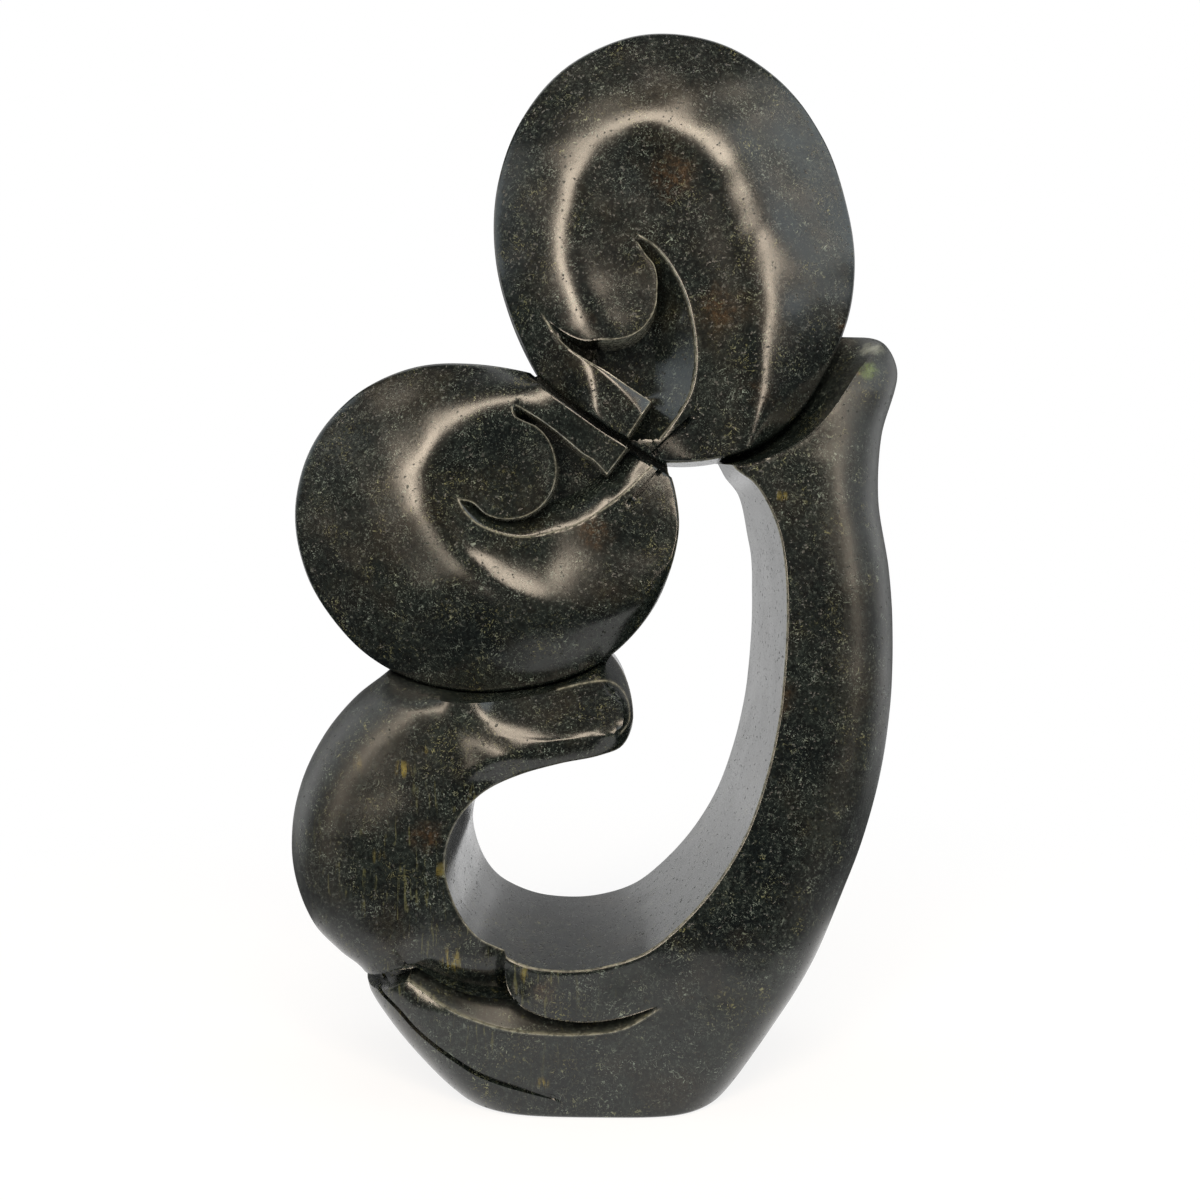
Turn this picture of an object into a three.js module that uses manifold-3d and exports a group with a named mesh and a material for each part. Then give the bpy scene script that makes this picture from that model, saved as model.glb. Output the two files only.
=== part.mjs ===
// Stone couple: one carved block with two flat egg-shaped heads pressed nose to nose, a U-shaped body below
// them and a large opening between. Sizes are millimetres. X runs to the right, Y to the back and Z up; the
// underside lies on Z = 0 and the origin is the middle of that flat.
import * as THREE from "three";
import { mergeVertices } from "three/addons/utils/BufferGeometryUtils.js";
import Module from "manifold-3d";

const wasm = await Module();
wasm.setup();

// How finely the curved surfaces are divided
const BODY_SPOKES = 96;
const HEAD_SPOKES = 64;
const OPENING_SIDES = 96;
const CURVE_DIVISIONS = 1200;

// Cutters reach this far in front of the stone, and the opening's as far behind it
const CLEAR_FRONT = -80;
const CLEAR_BACK = 80;
const GROUND_BLOCK = 400;

// Body: the outermost line of both limbs, anticlockwise from the right foot. It runs on below the underside,
// which cuts it off flat, and its top side is hidden in the heads.
const BODY_CENTRE = [0, 90];
const BODY_OUTLINE = [
  [49.5, -1], [65.5, 20.5], [80.5, 44], [94, 74], [103, 98], [110, 126], [113.5, 160], [112.3, 197],
  [108, 224], [108.5, 247], [115.5, 273], [109, 285], [95, 287], [80, 286], [60, 284], [38, 272],
  [18, 252], [-2, 230], [-26, 207], [-50, 186], [-70, 169], [-84, 156.5], [-96, 147], [-107.5, 133],
  [-116.5, 114], [-119.8, 93], [-117.6, 76], [-110.5, 60], [-100, 49], [-92, 42.5], [-89.5, 35],
  [-77, 18], [-55.5, -2], [-30, -16], [6, -22], [34, -15],
];
// The edge is rounded over this distance, along a superellipse with this exponent
const EDGE_ROUNDING = 24;
const EDGE_EXPONENT = 2.2;
const BODY_INSETS = [0, 1.2, 3.5, 7, 11.5, 17, 24];
// Deeper rings, as shares of the way from the last inset to the centre
const BODY_INNER_SHARES = [0.14, 0.3, 0.46, 0.64];
const INSET_STEP = 0.25;
// How far the front and the back stand from the middle plane, by height: [z, front, back]
const LEFT_LIMB = [[0, 38, 42], [40, 38, 42], [100, 40, 41], [130, 38, 39], [165, 30, 28], [205, 20, 16]];
const RIGHT_LIMB = [[0, 45, 44], [60, 46, 44], [130, 43, 44], [190, 40, 42], [235, 33, 24], [285, 22, 12]];
// Left limb sizes change to right limb sizes between these two places
const LIMB_CHANGE_X = [-52, -20];
// The raised arm's middle plane comes forward with height
const ARM_FORWARD = 10;
const ARM_FORWARD_Z = [205, 250];
// The shoulder and hand of the left figure fall back under the lower head to this depth, over this distance
const NECK_DEPTH = 13;
const NECK_REACH = 26;
const NECK_ABOVE_Z = 100;
// Behind the top right corner of the opening the stone thins out to a plate
const CORNER = [43.7, 234.4];
const CORNER_BACK = -11;
const CORNER_REACH = 32;

// Opening between the limbs, anticlockwise from its top right corner; the last four points lie in the heads
const OPENING = [
  [44, 240], [34, 244], [18, 232], [6, 205], [-6, 172], [4, 163.5], [9.8, 155], [12.3, 145.5], [12, 137.5],
  [8, 130.8], [0, 127.8], [-14.6, 125], [-29, 121], [-43.6, 113.7], [-52.6, 102.8], [-56, 90.5], [-54.8, 81],
  [-50.3, 70], [-43.9, 62.5], [-32.3, 56.3], [-21, 53.5], [-3.2, 53.5], [15, 58.8], [28.4, 69], [41, 83],
  [51.8, 100.6], [59, 120], [64, 141.3], [66.4, 163], [67.2, 180], [66.6, 198], [65, 208], [61.5, 218],
  [56, 227], [49, 232.5],
];

// Heads. The rim is an egg-shaped line, anticlockwise from the right. The crest is the raised brow ridge, an
// oval with half sizes and a tilt in radians, low on the open side where the cheek runs out to the mouth.
const HEADS = {
  upper: {
    rim: [
      [97.6, 317.5], [93.3, 341], [84.2, 364], [67.9, 384.5], [43.5, 398.9], [14.6, 400.9], [-12.1, 389.4],
      [-30.6, 367.9], [-39.5, 342.4], [-40.3, 317.3], [-34.9, 293.8], [-22, 268], [-5, 249.5], [14, 239],
      [35, 236.6], [57.1, 241.6], [75.5, 255], [89.6, 278], [96.3, 297],
    ],
    crest: { centre: [25.5, 303.5], half: [36.5, 59], tilt: 0.17 },
    middle: [28.5, 317.6],
    open: -Math.PI / 2,
    armGap: 3,
  },
  lower: {
    rim: [
      [29.2, 206.3], [29.6, 220], [25.5, 236.5], [15, 251.5], [-2, 263.5], [-24, 270.8], [-48.9, 275],
      [-71.8, 273.6], [-93.9, 263], [-110.4, 243.9], [-117, 219], [-112.5, 194], [-99.5, 173.2], [-86, 161],
      [-69.3, 153], [-50, 149.4], [-30.8, 150.4], [-11.5, 154.9], [5.2, 164], [21, 182.3],
    ],
    crest: { centre: [-21.5, 222.7], half: [45, 34.5], tilt: -0.22 },
    middle: [-43, 212.3],
    open: 0.25,
    armGap: 2,
  },
};
const RIM_FRONT = -17;
const RIM_BACK = -8;
const RIM_BEVEL = 1.8;
const CREST_DEPTH = -28;
const CREST_OPEN_DROP = 8;
const DISH_DEPTH = -24;
const DOME_BACK = 25;
// Powers of the curves from the dish up to the crest, from the crest down to the rim, and over the back dome
const DISH_POWER = 3;
const SLOPE_POWER = 1.4;
const DOME_POWER = 0.8;
// Front rings of a head: shares of the way from the dish centre to the crest, then from the crest to the rim
const DISH_RINGS = [0.4, 0.72, 0.9, 1];
const SLOPE_RINGS = [0.14, 0.36, 0.66, 0.95];
const BACK_RINGS = [0.28, 0.55, 0.78, 0.93];
// A head sits in a pocket of the body with a groove left round it
const POCKET_FLOOR = -9;

// Face carving, as [x, z, depth of the floor]
const FLOOR = -17;
const CHEEK = -22.8;
// A hollow is a row of pairs, the deep side under the eye and nose first, then the cheek side across from it
const UPPER_HOLLOW = [
  [[15, 318.5, -23], [17, 319.8, -23.5]],
  [[20.1, 310.5, -19], [26, 311, CHEEK]],
  [[21.4, 300.7, FLOOR], [31.2, 301, CHEEK]],
  [[19.4, 290.9, FLOOR], [33.8, 292, CHEEK]],
  [[15.9, 286.1, FLOOR], [35.2, 284, CHEEK]],
  [[8, 281.8, FLOOR], [35.9, 276, CHEEK]],
  [[-0.1, 281.6, FLOOR], [35.4, 269, CHEEK]],
  [[3, 269.8, FLOOR], [34.6, 264, CHEEK]],
  [[11.2, 264.3, FLOOR], [32.6, 259, CHEEK]],
  [[19.3, 259.3, FLOOR], [29.6, 254, CHEEK]],
  [[15, 253.1, FLOOR], [26.5, 250, -21]],
  [[10.5, 246, FLOOR], [21.8, 244.5, -19]],
];
const LOWER_HOLLOW = [
  [[-52.2, 222.8, -24.5], [-52.6, 221.2, -24.5]],
  [[-47.8, 221, -20], [-50, 216.5, CHEEK]],
  [[-42.9, 216.8, -18], [-46, 213.3, CHEEK]],
  [[-36.8, 215, FLOOR], [-38, 209.8, CHEEK]],
  [[-29.7, 215.7, FLOOR], [-29.5, 208.3, CHEEK]],
  [[-23.7, 218.7, FLOOR], [-21, 209.3, CHEEK]],
  [[-18.6, 224.7, FLOOR], [-12, 211.8, CHEEK]],
  [[-16.5, 231.9, FLOOR], [-4, 215.5, CHEEK]],
  [[-6.4, 239.6, FLOOR], [1, 218.5, CHEEK]],
  [[-2, 236.5, FLOOR], [6, 222.5, -22]],
  [[2.6, 231.9, FLOOR], [11, 226.5, -21]],
  [[6.5, 237, FLOOR], [15.5, 231, -20]],
  [[10.5, 242, FLOOR], [19.8, 236, -19]],
];
// The narrow end of each hollow between the eyelid and the top of the nose
const UPPER_EYE_CORNER = [
  [-20.5, 290.8, -24.5], [-16.6, 284.2, -21], [-4.1, 273.9, FLOOR], [3.2, 269.6, FLOOR], [0.2, 281.6, FLOOR],
  [-9, 283.6, -20],
];
const LOWER_EYE_CORNER = [
  [-32.8, 256.9, -23], [-32.4, 254.2, -22], [-23.7, 249.2, -18], [-19.6, 245, FLOOR], [-17.1, 239, FLOOR],
  [-16.6, 231.6, FLOOR], [-6, 239.5, FLOOR], [-11.6, 243.9, FLOOR], [-22.5, 252, -18],
];
const CONTACT_LINE = [
  [-24.5, 269.5, -15], [-14.7, 261.2, -20], [-6.4, 254.8, -20], [1.3, 249.2, -19], [10.3, 243.7, -16],
  [18.8, 238.3, -15], [26.5, 233.6, -13],
];
const UPPER_MOUTH = [[34.6, 253.2, -21], [27, 246.3, -17], [18.6, 238.5, -14]];
const LOWER_MOUTH = [[24.2, 235, -14], [17.5, 228, -17], [10.8, 220.8, -21]];
const LINE_WIDTH = 2.4;
const LINE_END_SHARE = 0.6;

// Carving where the limbs cross at the bottom, as [x, z, depth of the floor]
const LEFT_LIMB_FACE = [
  [-33.9, 70, -38.5], [-62, 70, -38.5], [-84, 56, -38], [-66.4, 51.6, -37], [-59, 48, -36.5],
  [-51.8, 45.1, -36], [-43.4, 43.3, -36], [-33.6, 42.6, -36], [-34.1, 52.4, -37.5], [-33.9, 59.7, -38.5],
];
// Pairs again: the groove below the tongue, its upper side first, and the face of the wrap below that
const UNDER_TONGUE = [
  [[-66.4, 52, -33], [-68.4, 50, -33]],
  [[-59, 48.8, -34], [-61.7, 43.1, -35.5]],
  [[-51.8, 46, -34], [-55, 39.6, -36]],
  [[-43.4, 44.3, -34.5], [-45.2, 35.5, -37]],
  [[-34, 43.4, -35], [-36.3, 32.6, -38]],
  [[-28.9, 41.1, -36], [-30.5, 31.5, -38.5]],
  [[-21.7, 37.2, -37], [-24.8, 30.6, -39]],
  [[-7.1, 34.9, -38.5], [-6.8, 30, -40.5]],
  [[7.1, 36.4, -41], [8, 32.4, -42.5]],
  [[19.5, 40.2, -45.8], [20.2, 39.4, -45.8]],
];
const WRAP_FACE = [
  [[-68.6, 49.6, -40.5], [-79.8, 41.3, -40.5]],
  [[-61.7, 43.3, -41], [-72, 34.5, -40.5]],
  [[-51.3, 37.9, -41], [-62, 27, -41]],
  [[-36.3, 32.8, -41.5], [-48, 18, -41.5]],
  [[-24.8, 30.8, -42], [-34, 12.6, -42]],
  [[-6.8, 30.2, -43.5], [-18, 8.5, -43.5]],
  [[7.5, 32.6, -46.5], [-4, 5.5, -46.5]],
];
const WRAP_EDGE = [
  [-81, 42, -20], [-73.5, 36.4, -27.5], [-66.4, 29.9, -30], [-59, 24.9, -31.5], [-43.4, 16.2, -34],
  [-25, 10, -38.5], [-9, 6, -43],
];
const STRIP_END_RECESS = [[-93, 41.5, -4], [-84, 43, -16], [-76, 45.6, -25], [-67.5, 49.4, -31]];
const RECESS_WIDTH = 4;

function lerp(a, b, share) {
  return a + (b - a) * share;
}

function clamp01(value) {
  return Math.min(1, Math.max(0, value));
}

function smooth(value) {
  const t = clamp01(value);
  return t * t * (3 - 2 * t);
}

// The columns of a table read off at one height, straight between its rows
function readTable(rows, at) {
  if (at <= rows[0][0]) return rows[0].slice(1);
  for (let i = 1; i < rows.length; i++) {
    if (at <= rows[i][0]) {
      const share = (at - rows[i - 1][0]) / (rows[i][0] - rows[i - 1][0]);
      return rows[i].slice(1).map((value, k) => lerp(rows[i - 1][k + 1], value, share));
    }
  }
  return rows[rows.length - 1].slice(1);
}

// A closed smooth line through points, evenly divided
function smoothLoop(points, count) {
  const curve = new THREE.CatmullRomCurve3(
    points.map(([x, z]) => new THREE.Vector3(x, 0, z)),
    true,
    "centripetal",
  );
  curve.arcLengthDivisions = CURVE_DIVISIONS;
  return curve.getSpacedPoints(count).slice(0, count).map((p) => [p.x, p.z]);
}

// The point of an oval on the ray from its centre at an angle
function ovalPoint({ centre, half, tilt }, angle) {
  const turned = angle - tilt;
  const reach = (half[0] * half[1]) / Math.hypot(half[1] * Math.cos(turned), half[0] * Math.sin(turned));
  return [centre[0] + reach * Math.cos(angle), centre[1] + reach * Math.sin(angle)];
}

// Where the ray from a point inside a loop leaves it
function rayToLoop([x, z], angle, loop) {
  const c = Math.cos(angle);
  const s = Math.sin(angle);
  let reach = 0;
  for (let i = 0; i < loop.length; i++) {
    const [ax, az] = [loop[i][0] - x, loop[i][1] - z];
    const next = loop[(i + 1) % loop.length];
    const [bx, bz] = [next[0] - x, next[1] - z];
    const sideA = az * c - ax * s;
    const sideB = bz * c - bx * s;
    if (sideA > 0 === sideB > 0) continue;
    const share = sideA / (sideA - sideB);
    reach = Math.max(reach, lerp(ax, bx, share) * c + lerp(az, bz, share) * s);
  }
  return [x + reach * c, z + reach * s];
}

function distanceToLoop([x, z], loop) {
  let best = Infinity;
  for (let i = 0; i < loop.length; i++) {
    const [ax, az] = loop[i];
    const [bx, bz] = loop[(i + 1) % loop.length];
    const length2 = (bx - ax) ** 2 + (bz - az) ** 2;
    const t = clamp01(((x - ax) * (bx - ax) + (z - az) * (bz - az)) / length2);
    best = Math.min(best, Math.hypot(x - lerp(ax, bx, t), z - lerp(az, bz, t)));
  }
  return best;
}

function isInside([x, z], loop) {
  let inside = false;
  for (let i = 0, j = loop.length - 1; i < loop.length; j = i++) {
    const [ax, az] = loop[i];
    const [bx, bz] = loop[j];
    if (az > z !== bz > z && x < ((bx - ax) * (z - az)) / (bz - az) + ax) inside = !inside;
  }
  return inside;
}

// A loop moved outward by a distance
function offsetLoop(loop, distance) {
  return loop.map(([x, z], i) => {
    const [px, pz] = loop[(i + loop.length - 1) % loop.length];
    const [nx, nz] = loop[(i + 1) % loop.length];
    const length = Math.hypot(nx - px, nz - pz);
    return [x + ((nz - pz) / length) * distance, z - ((nx - px) / length) * distance];
  });
}

function toSolid(positions, triangles) {
  return new wasm.Manifold(
    new wasm.Mesh({
      numProp: 3,
      vertProperties: new Float32Array(positions.flat()),
      triVerts: new Uint32Array(triangles.flat()),
    }),
  );
}

// A closed body from rings that share one spoke count, from a front middle point to a back middle point
function ringBody(frontPoint, rings, backPoint) {
  const count = rings[0].length;
  const positions = [frontPoint, ...rings.flat(), backPoint];
  const triangles = [];
  const at = (ring, i) => 1 + ring * count + (i % count);
  for (let i = 0; i < count; i++) {
    triangles.push([0, at(0, i), at(0, i + 1)]);
    for (let ring = 0; ring + 1 < rings.length; ring++) {
      triangles.push([at(ring, i), at(ring + 1, i), at(ring + 1, i + 1)]);
      triangles.push([at(ring, i), at(ring + 1, i + 1), at(ring, i + 1)]);
    }
    triangles.push([positions.length - 1, at(rings.length - 1, i + 1), at(rings.length - 1, i)]);
  }
  return toSolid(positions, triangles);
}

// A straight-sided cutter over an outline of [x, z, floor], open to the front
function carving(outline) {
  const flat = outline.map(([x, z]) => new THREE.Vector2(x, z));
  const points = THREE.ShapeUtils.area(flat) < 0 ? [...outline].reverse() : outline;
  const contour = points.map(([x, z]) => new THREE.Vector2(x, z));
  const faces = THREE.ShapeUtils.triangulateShape(contour, []);
  const count = points.length;
  const positions = [
    ...points.map(([x, z]) => [x, CLEAR_FRONT, z]),
    ...points.map(([x, z, floor]) => [x, floor, z]),
  ];
  const triangles = faces.flatMap(([a, b, c]) => [[a, b, c], [count + a, count + c, count + b]]);
  for (let i = 0; i < count; i++) {
    const j = (i + 1) % count;
    triangles.push([i, count + i, count + j], [i, count + j, j]);
  }
  return toSolid(positions, triangles);
}

// A cutter between two sides of [x, z, floor] given in pairs, with a floor that slopes across each pair
function hollowCutter(pairs) {
  const positions = pairs.flatMap(([deep, cheek]) => [
    [deep[0], CLEAR_FRONT, deep[1]],
    [cheek[0], CLEAR_FRONT, cheek[1]],
    [deep[0], deep[2], deep[1]],
    [cheek[0], cheek[2], cheek[1]],
  ]);
  const quads = [[0, 1, 3, 2]];
  for (let i = 0; i + 1 < pairs.length; i++) {
    const [a, b, c, d] = [4 * i, 4 * i + 1, 4 * i + 2, 4 * i + 3];
    quads.push([a, a + 4, b + 4, b], [c, d, d + 4, c + 4], [a, c, c + 4, a + 4], [b, b + 4, d + 4, d]);
  }
  const end = 4 * (pairs.length - 1);
  quads.push([end, end + 2, end + 3, end + 1]);
  const triangles = quads.flatMap(([a, b, c, d]) => [[a, b, c], [a, c, d]]);
  const cutter = toSolid(positions, triangles);
  return cutter.volume() > 0 ? cutter : toSolid(positions, triangles.map(([a, b, c]) => [a, c, b]));
}

function withFloor(loop, floor) {
  return loop.map(([x, z]) => [x, z, floor]);
}

// A cut line along points of [x, z, floor], a little narrower at both ends
function lineCut(points, width) {
  const sides = [1, -1].map((side) =>
    points.map(([x, z, floor], i) => {
      const [px, pz] = points[Math.max(0, i - 1)];
      const [nx, nz] = points[Math.min(points.length - 1, i + 1)];
      const length = Math.hypot(nx - px, nz - pz);
      const isEnd = i === 0 || i === points.length - 1;
      const half = 0.5 * width * side * (isEnd ? LINE_END_SHARE : 1);
      return [x - ((nz - pz) / length) * half, z + ((nx - px) / length) * half, floor];
    }),
  );
  return carving([...sides[0], ...sides[1].reverse()]);
}

const lowerRim = smoothLoop(HEADS.lower.rim, 2 * HEAD_SPOKES);

// Depths of the body's front and back at one place, given its distance from the outline
function bodyDepths([x, z], inset) {
  const q = clamp01(inset / EDGE_ROUNDING);
  const fullness = (1 - (1 - q) ** EDGE_EXPONENT) ** (1 / EDGE_EXPONENT);
  const share = smooth((x - LIMB_CHANGE_X[0]) / (LIMB_CHANGE_X[1] - LIMB_CHANGE_X[0]));
  const left = readTable(LEFT_LIMB, z);
  const right = readTable(RIGHT_LIMB, z);
  const armShare = smooth((z - ARM_FORWARD_Z[0]) / (ARM_FORWARD_Z[1] - ARM_FORWARD_Z[0]));
  const middle = -ARM_FORWARD * armShare * (x > 0 ? 1 : 0);
  const cornerDistance = Math.hypot(x - CORNER[0], z - CORNER[1]);
  const fullBack = lerp(CORNER_BACK, lerp(left[1], right[1], share), smooth(cornerDistance / CORNER_REACH));
  let front = lerp(middle, -lerp(left[0], right[0], share), fullness);
  const back = lerp(middle, fullBack, fullness);
  if (x < CORNER[0] && z > NECK_ABOVE_Z) {
    const away = isInside([x, z], lowerRim) ? 0 : distanceToLoop([x, z], lowerRim);
    const rise = 1 - (1 - clamp01(away / NECK_REACH)) ** 2;
    front = Math.max(front, -lerp(NECK_DEPTH, left[0], rise));
  }
  return { front, middle, back };
}

// The first place on the way from an outline point to the centre that lies a given distance inside
function insetPoint([x, z], inset, outline) {
  const reach = Math.hypot(x - BODY_CENTRE[0], z - BODY_CENTRE[1]);
  for (let along = inset; along < reach; along += INSET_STEP) {
    const point = [lerp(x, BODY_CENTRE[0], along / reach), lerp(z, BODY_CENTRE[1], along / reach)];
    if (distanceToLoop(point, outline) >= inset) return point;
  }
  return BODY_CENTRE;
}

function body() {
  const outline = smoothLoop(BODY_OUTLINE, BODY_SPOKES);
  const insets = BODY_INSETS.map((inset) => outline.map((point) => insetPoint(point, inset, outline)));
  const deepest = insets[insets.length - 1];
  const inner = BODY_INNER_SHARES.map((share) =>
    deepest.map(([x, z]) => [lerp(x, BODY_CENTRE[0], share), lerp(z, BODY_CENTRE[1], share)]),
  );
  const rings = [...insets, ...inner].map((ring) =>
    ring.map((point) => ({ point, ...bodyDepths(point, distanceToLoop(point, outline)) })),
  );
  const surface = (ring, side) => ring.map((spot) => [spot.point[0], spot[side], spot.point[1]]);
  const fronts = rings.slice(1).reverse().map((ring) => surface(ring, "front"));
  const backs = rings.slice(1).map((ring) => surface(ring, "back"));
  const middle = bodyDepths(BODY_CENTRE, EDGE_ROUNDING);
  return ringBody(
    [BODY_CENTRE[0], middle.front, BODY_CENTRE[1]],
    [...fronts, surface(rings[0], "middle"), ...backs],
    [BODY_CENTRE[0], middle.back, BODY_CENTRE[1]],
  );
}

function head({ rim, crest, middle, open }) {
  const rimLoop = smoothLoop(rim, 4 * HEAD_SPOKES);
  const spokes = Array.from({ length: HEAD_SPOKES }, (_, i) => {
    const angle = (2 * Math.PI * i) / HEAD_SPOKES;
    const towardOpen = Math.max(0, Math.cos(angle - open));
    return {
      edge: rayToLoop(crest.centre, angle, rimLoop),
      top: ovalPoint(crest, angle),
      topDepth: CREST_DEPTH + CREST_OPEN_DROP * towardOpen ** 2,
    };
  });
  const ringAt = (from, to, share, depth) =>
    spokes.map((spoke) => {
      const a = from(spoke);
      const b = to(spoke);
      return [lerp(a[0], b[0], share), depth(spoke), lerp(a[1], b[1], share)];
    });
  const dishCentre = () => crest.centre;
  const domeCentre = () => middle;
  const top = (spoke) => spoke.top;
  const edge = (spoke) => spoke.edge;
  const dish = DISH_RINGS.map((share) =>
    ringAt(dishCentre, top, share, (spoke) => lerp(DISH_DEPTH, spoke.topDepth, share ** DISH_POWER)),
  );
  const slope = SLOPE_RINGS.map((share) =>
    ringAt(top, edge, share, (spoke) => lerp(spoke.topDepth, RIM_FRONT, share ** SLOPE_POWER)),
  );
  const band = [RIM_FRONT + RIM_BEVEL, RIM_BACK].map((depth) => ringAt(edge, edge, 0, () => depth));
  const dome = [...BACK_RINGS].reverse().map((share) =>
    ringAt(domeCentre, edge, share, () => lerp(RIM_BACK, DOME_BACK, (1 - share ** 2) ** DOME_POWER)),
  );
  return ringBody(
    [crest.centre[0], DISH_DEPTH, crest.centre[1]],
    [...dish, ...slope, ...band, ...dome],
    [middle[0], DOME_BACK, middle[1]],
  );
}

function pocket({ rim, armGap }) {
  return carving(withFloor(offsetLoop(smoothLoop(rim, HEAD_SPOKES), armGap), POCKET_FLOOR));
}

function opening() {
  return carving(withFloor(smoothLoop(OPENING, OPENING_SIDES), CLEAR_BACK));
}

function belowGround() {
  const box = new THREE.BoxGeometry(GROUND_BLOCK, GROUND_BLOCK, GROUND_BLOCK);
  box.translate(0, 0, -GROUND_BLOCK / 2);
  box.deleteAttribute("normal");
  box.deleteAttribute("uv");
  const corners = mergeVertices(box);
  return toSolid(Array.from(corners.attributes.position.array), Array.from(corners.index.array));
}

function toMesh(solid, name) {
  const data = solid.getMesh();
  const geometry = new THREE.BufferGeometry();
  geometry.setAttribute("position", new THREE.BufferAttribute(data.vertProperties, data.numProp));
  geometry.setIndex(new THREE.BufferAttribute(data.triVerts, 1));
  const mesh = new THREE.Mesh(geometry);
  mesh.name = name;
  return mesh;
}

let couple = body().subtract(opening()).subtract(belowGround());
couple = couple.subtract(carving(LEFT_LIMB_FACE));
for (const pairs of [WRAP_FACE, UNDER_TONGUE]) couple = couple.subtract(hollowCutter(pairs));
couple = couple.subtract(lineCut(WRAP_EDGE, LINE_WIDTH)).subtract(lineCut(STRIP_END_RECESS, RECESS_WIDTH));
for (const which of Object.values(HEADS)) couple = couple.subtract(pocket(which));
for (const which of Object.values(HEADS)) couple = couple.add(head(which));
for (const pairs of [UPPER_HOLLOW, LOWER_HOLLOW]) couple = couple.subtract(hollowCutter(pairs));
for (const area of [UPPER_EYE_CORNER, LOWER_EYE_CORNER]) couple = couple.subtract(carving(area));
for (const line of [CONTACT_LINE, UPPER_MOUTH, LOWER_MOUTH]) {
  couple = couple.subtract(lineCut(line, LINE_WIDTH));
}

const root = new THREE.Group();
root.add(toMesh(couple, "stone_couple"));

export default root;
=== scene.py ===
import math

import bmesh
import bpy
import numpy as np
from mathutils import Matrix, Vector, geometry, kdtree


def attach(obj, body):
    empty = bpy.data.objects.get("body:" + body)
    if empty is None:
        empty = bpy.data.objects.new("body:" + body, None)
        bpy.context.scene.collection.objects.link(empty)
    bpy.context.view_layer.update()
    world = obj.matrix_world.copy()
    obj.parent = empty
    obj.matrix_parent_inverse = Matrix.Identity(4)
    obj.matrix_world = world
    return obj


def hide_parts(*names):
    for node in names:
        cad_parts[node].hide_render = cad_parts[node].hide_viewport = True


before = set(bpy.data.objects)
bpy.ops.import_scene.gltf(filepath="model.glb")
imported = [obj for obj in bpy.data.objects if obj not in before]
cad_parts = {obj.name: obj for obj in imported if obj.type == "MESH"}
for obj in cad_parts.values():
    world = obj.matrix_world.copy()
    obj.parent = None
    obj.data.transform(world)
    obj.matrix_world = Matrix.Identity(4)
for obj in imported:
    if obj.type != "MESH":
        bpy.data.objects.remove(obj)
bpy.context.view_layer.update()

# All shapes are worked out in millimetres in the row's frame: X right, Y back, Z up. A place on the carving
# is (x, z), and the front and the back are depths y over it. Heights are towards the viewer. A name that ends
# in _X or _Z holds the start and the reach of a change along that axis; it falls if the reach is negative.
MM = 0.001

# How finely the stone is divided
LOOP_STEP = 1.5
LINE_STEP = 1.0
FRONT_SPACING = 1.75
BACK_SPACING = 2.8
ROUNDING_STEPS = 18
WALL_ROWS = 24
BAND_ROWS = 3
EDGE_ROW = 0.004
CHUNK = 4096
SAME_POINT = 0.02
JOINT_CLEARANCE = 0.35
LOOP_CLEARANCE = 0.04
GRID_CLEARANCE = 0.62
GRID_SIDES = (-125, 120)
GRID_TOP = 405
BOTTOM_POINTS = 90
SHARP_ANGLE = math.radians(34)
MERGE_DISTANCE = 2e-6
SMALLEST_EDGE = 1e-6
GROUND_CLEARANCE = 0.2
MOVED_SLACK = 0.02
MOVED_SHARE = 0.002
TINY = 1e-9
NOT_ZERO = 1e-12

# Body: outermost line of both limbs, anticlockwise from the right foot; it runs on below the ground
BODY_OUTLINE = [
    (49.5, -1), (65.5, 20.5), (80.5, 44), (94, 74), (103, 98), (110, 126), (113.5, 160), (112.3, 197),
    (108, 224), (108.5, 247), (115.1, 273), (109, 285), (95, 287), (80, 286), (60, 284), (38, 272),
    (18, 252), (-2, 230), (-26, 207), (-50, 186), (-70, 169), (-84, 156.5), (-96, 147), (-107.5, 133),
    (-116.5, 114), (-119.7, 93), (-117.6, 76), (-110.5, 60), (-100, 49), (-92, 42.5), (-89.5, 35),
    (-77, 18), (-55.5, -2), (-30, -16), (6, -22), (34, -15),
]
EDGE_ROUNDING = 24.0
EDGE_EXPONENT = 2.2
# Front and back distance from the middle plane by height: (z, front, back)
LEFT_LIMB = [(0, 38, 42), (40, 38, 42), (100, 40, 41), (130, 38.5, 39), (165, 37, 28), (205, 24, 16)]
RIGHT_LIMB = [
    (0, 44.8, 43.6), (60, 45.7, 43.6), (130, 43, 43.6), (190, 40.5, 42), (235, 36.5, 24),
    (262, 32.5, 17.5), (285, 22, 12),
]
LIMB_CHANGE_X = (-52, 32)
WRAP_FRONT_X = (-92, 50)
WRAP_FRONT_Z = (54, -16)
ARM_FORWARD = 10.0
ARM_FORWARD_X = (10, 30)
ARM_FORWARD_Z = (205, 45)
CORNER = (43.7, 234.4)
CORNER_BACK = -11.0
CORNER_REACH = 32.0
# How fast a surface falls away outside its outline
FALL = 200.0

OPENING = [
    (44, 240), (34, 244), (18, 232), (6, 205), (-6, 172), (4, 163.5), (9.8, 155), (12.3, 145.5),
    (12, 137.5), (8, 130.8), (0, 127.8), (-14.6, 125), (-29, 121), (-43.6, 113.7), (-52.6, 102.8),
    (-56, 90.5), (-54.8, 81), (-50.3, 70), (-43.9, 62.5), (-32.3, 56.3), (-21, 53.5), (-3.2, 53.5),
    (15, 58.8), (28.4, 69), (41, 83), (51.8, 100.6), (59, 120), (64, 141.3), (66.4, 163), (67.2, 180),
    (66.6, 198), (65, 208), (61.5, 218), (56, 227), (49, 232.5),
]

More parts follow.
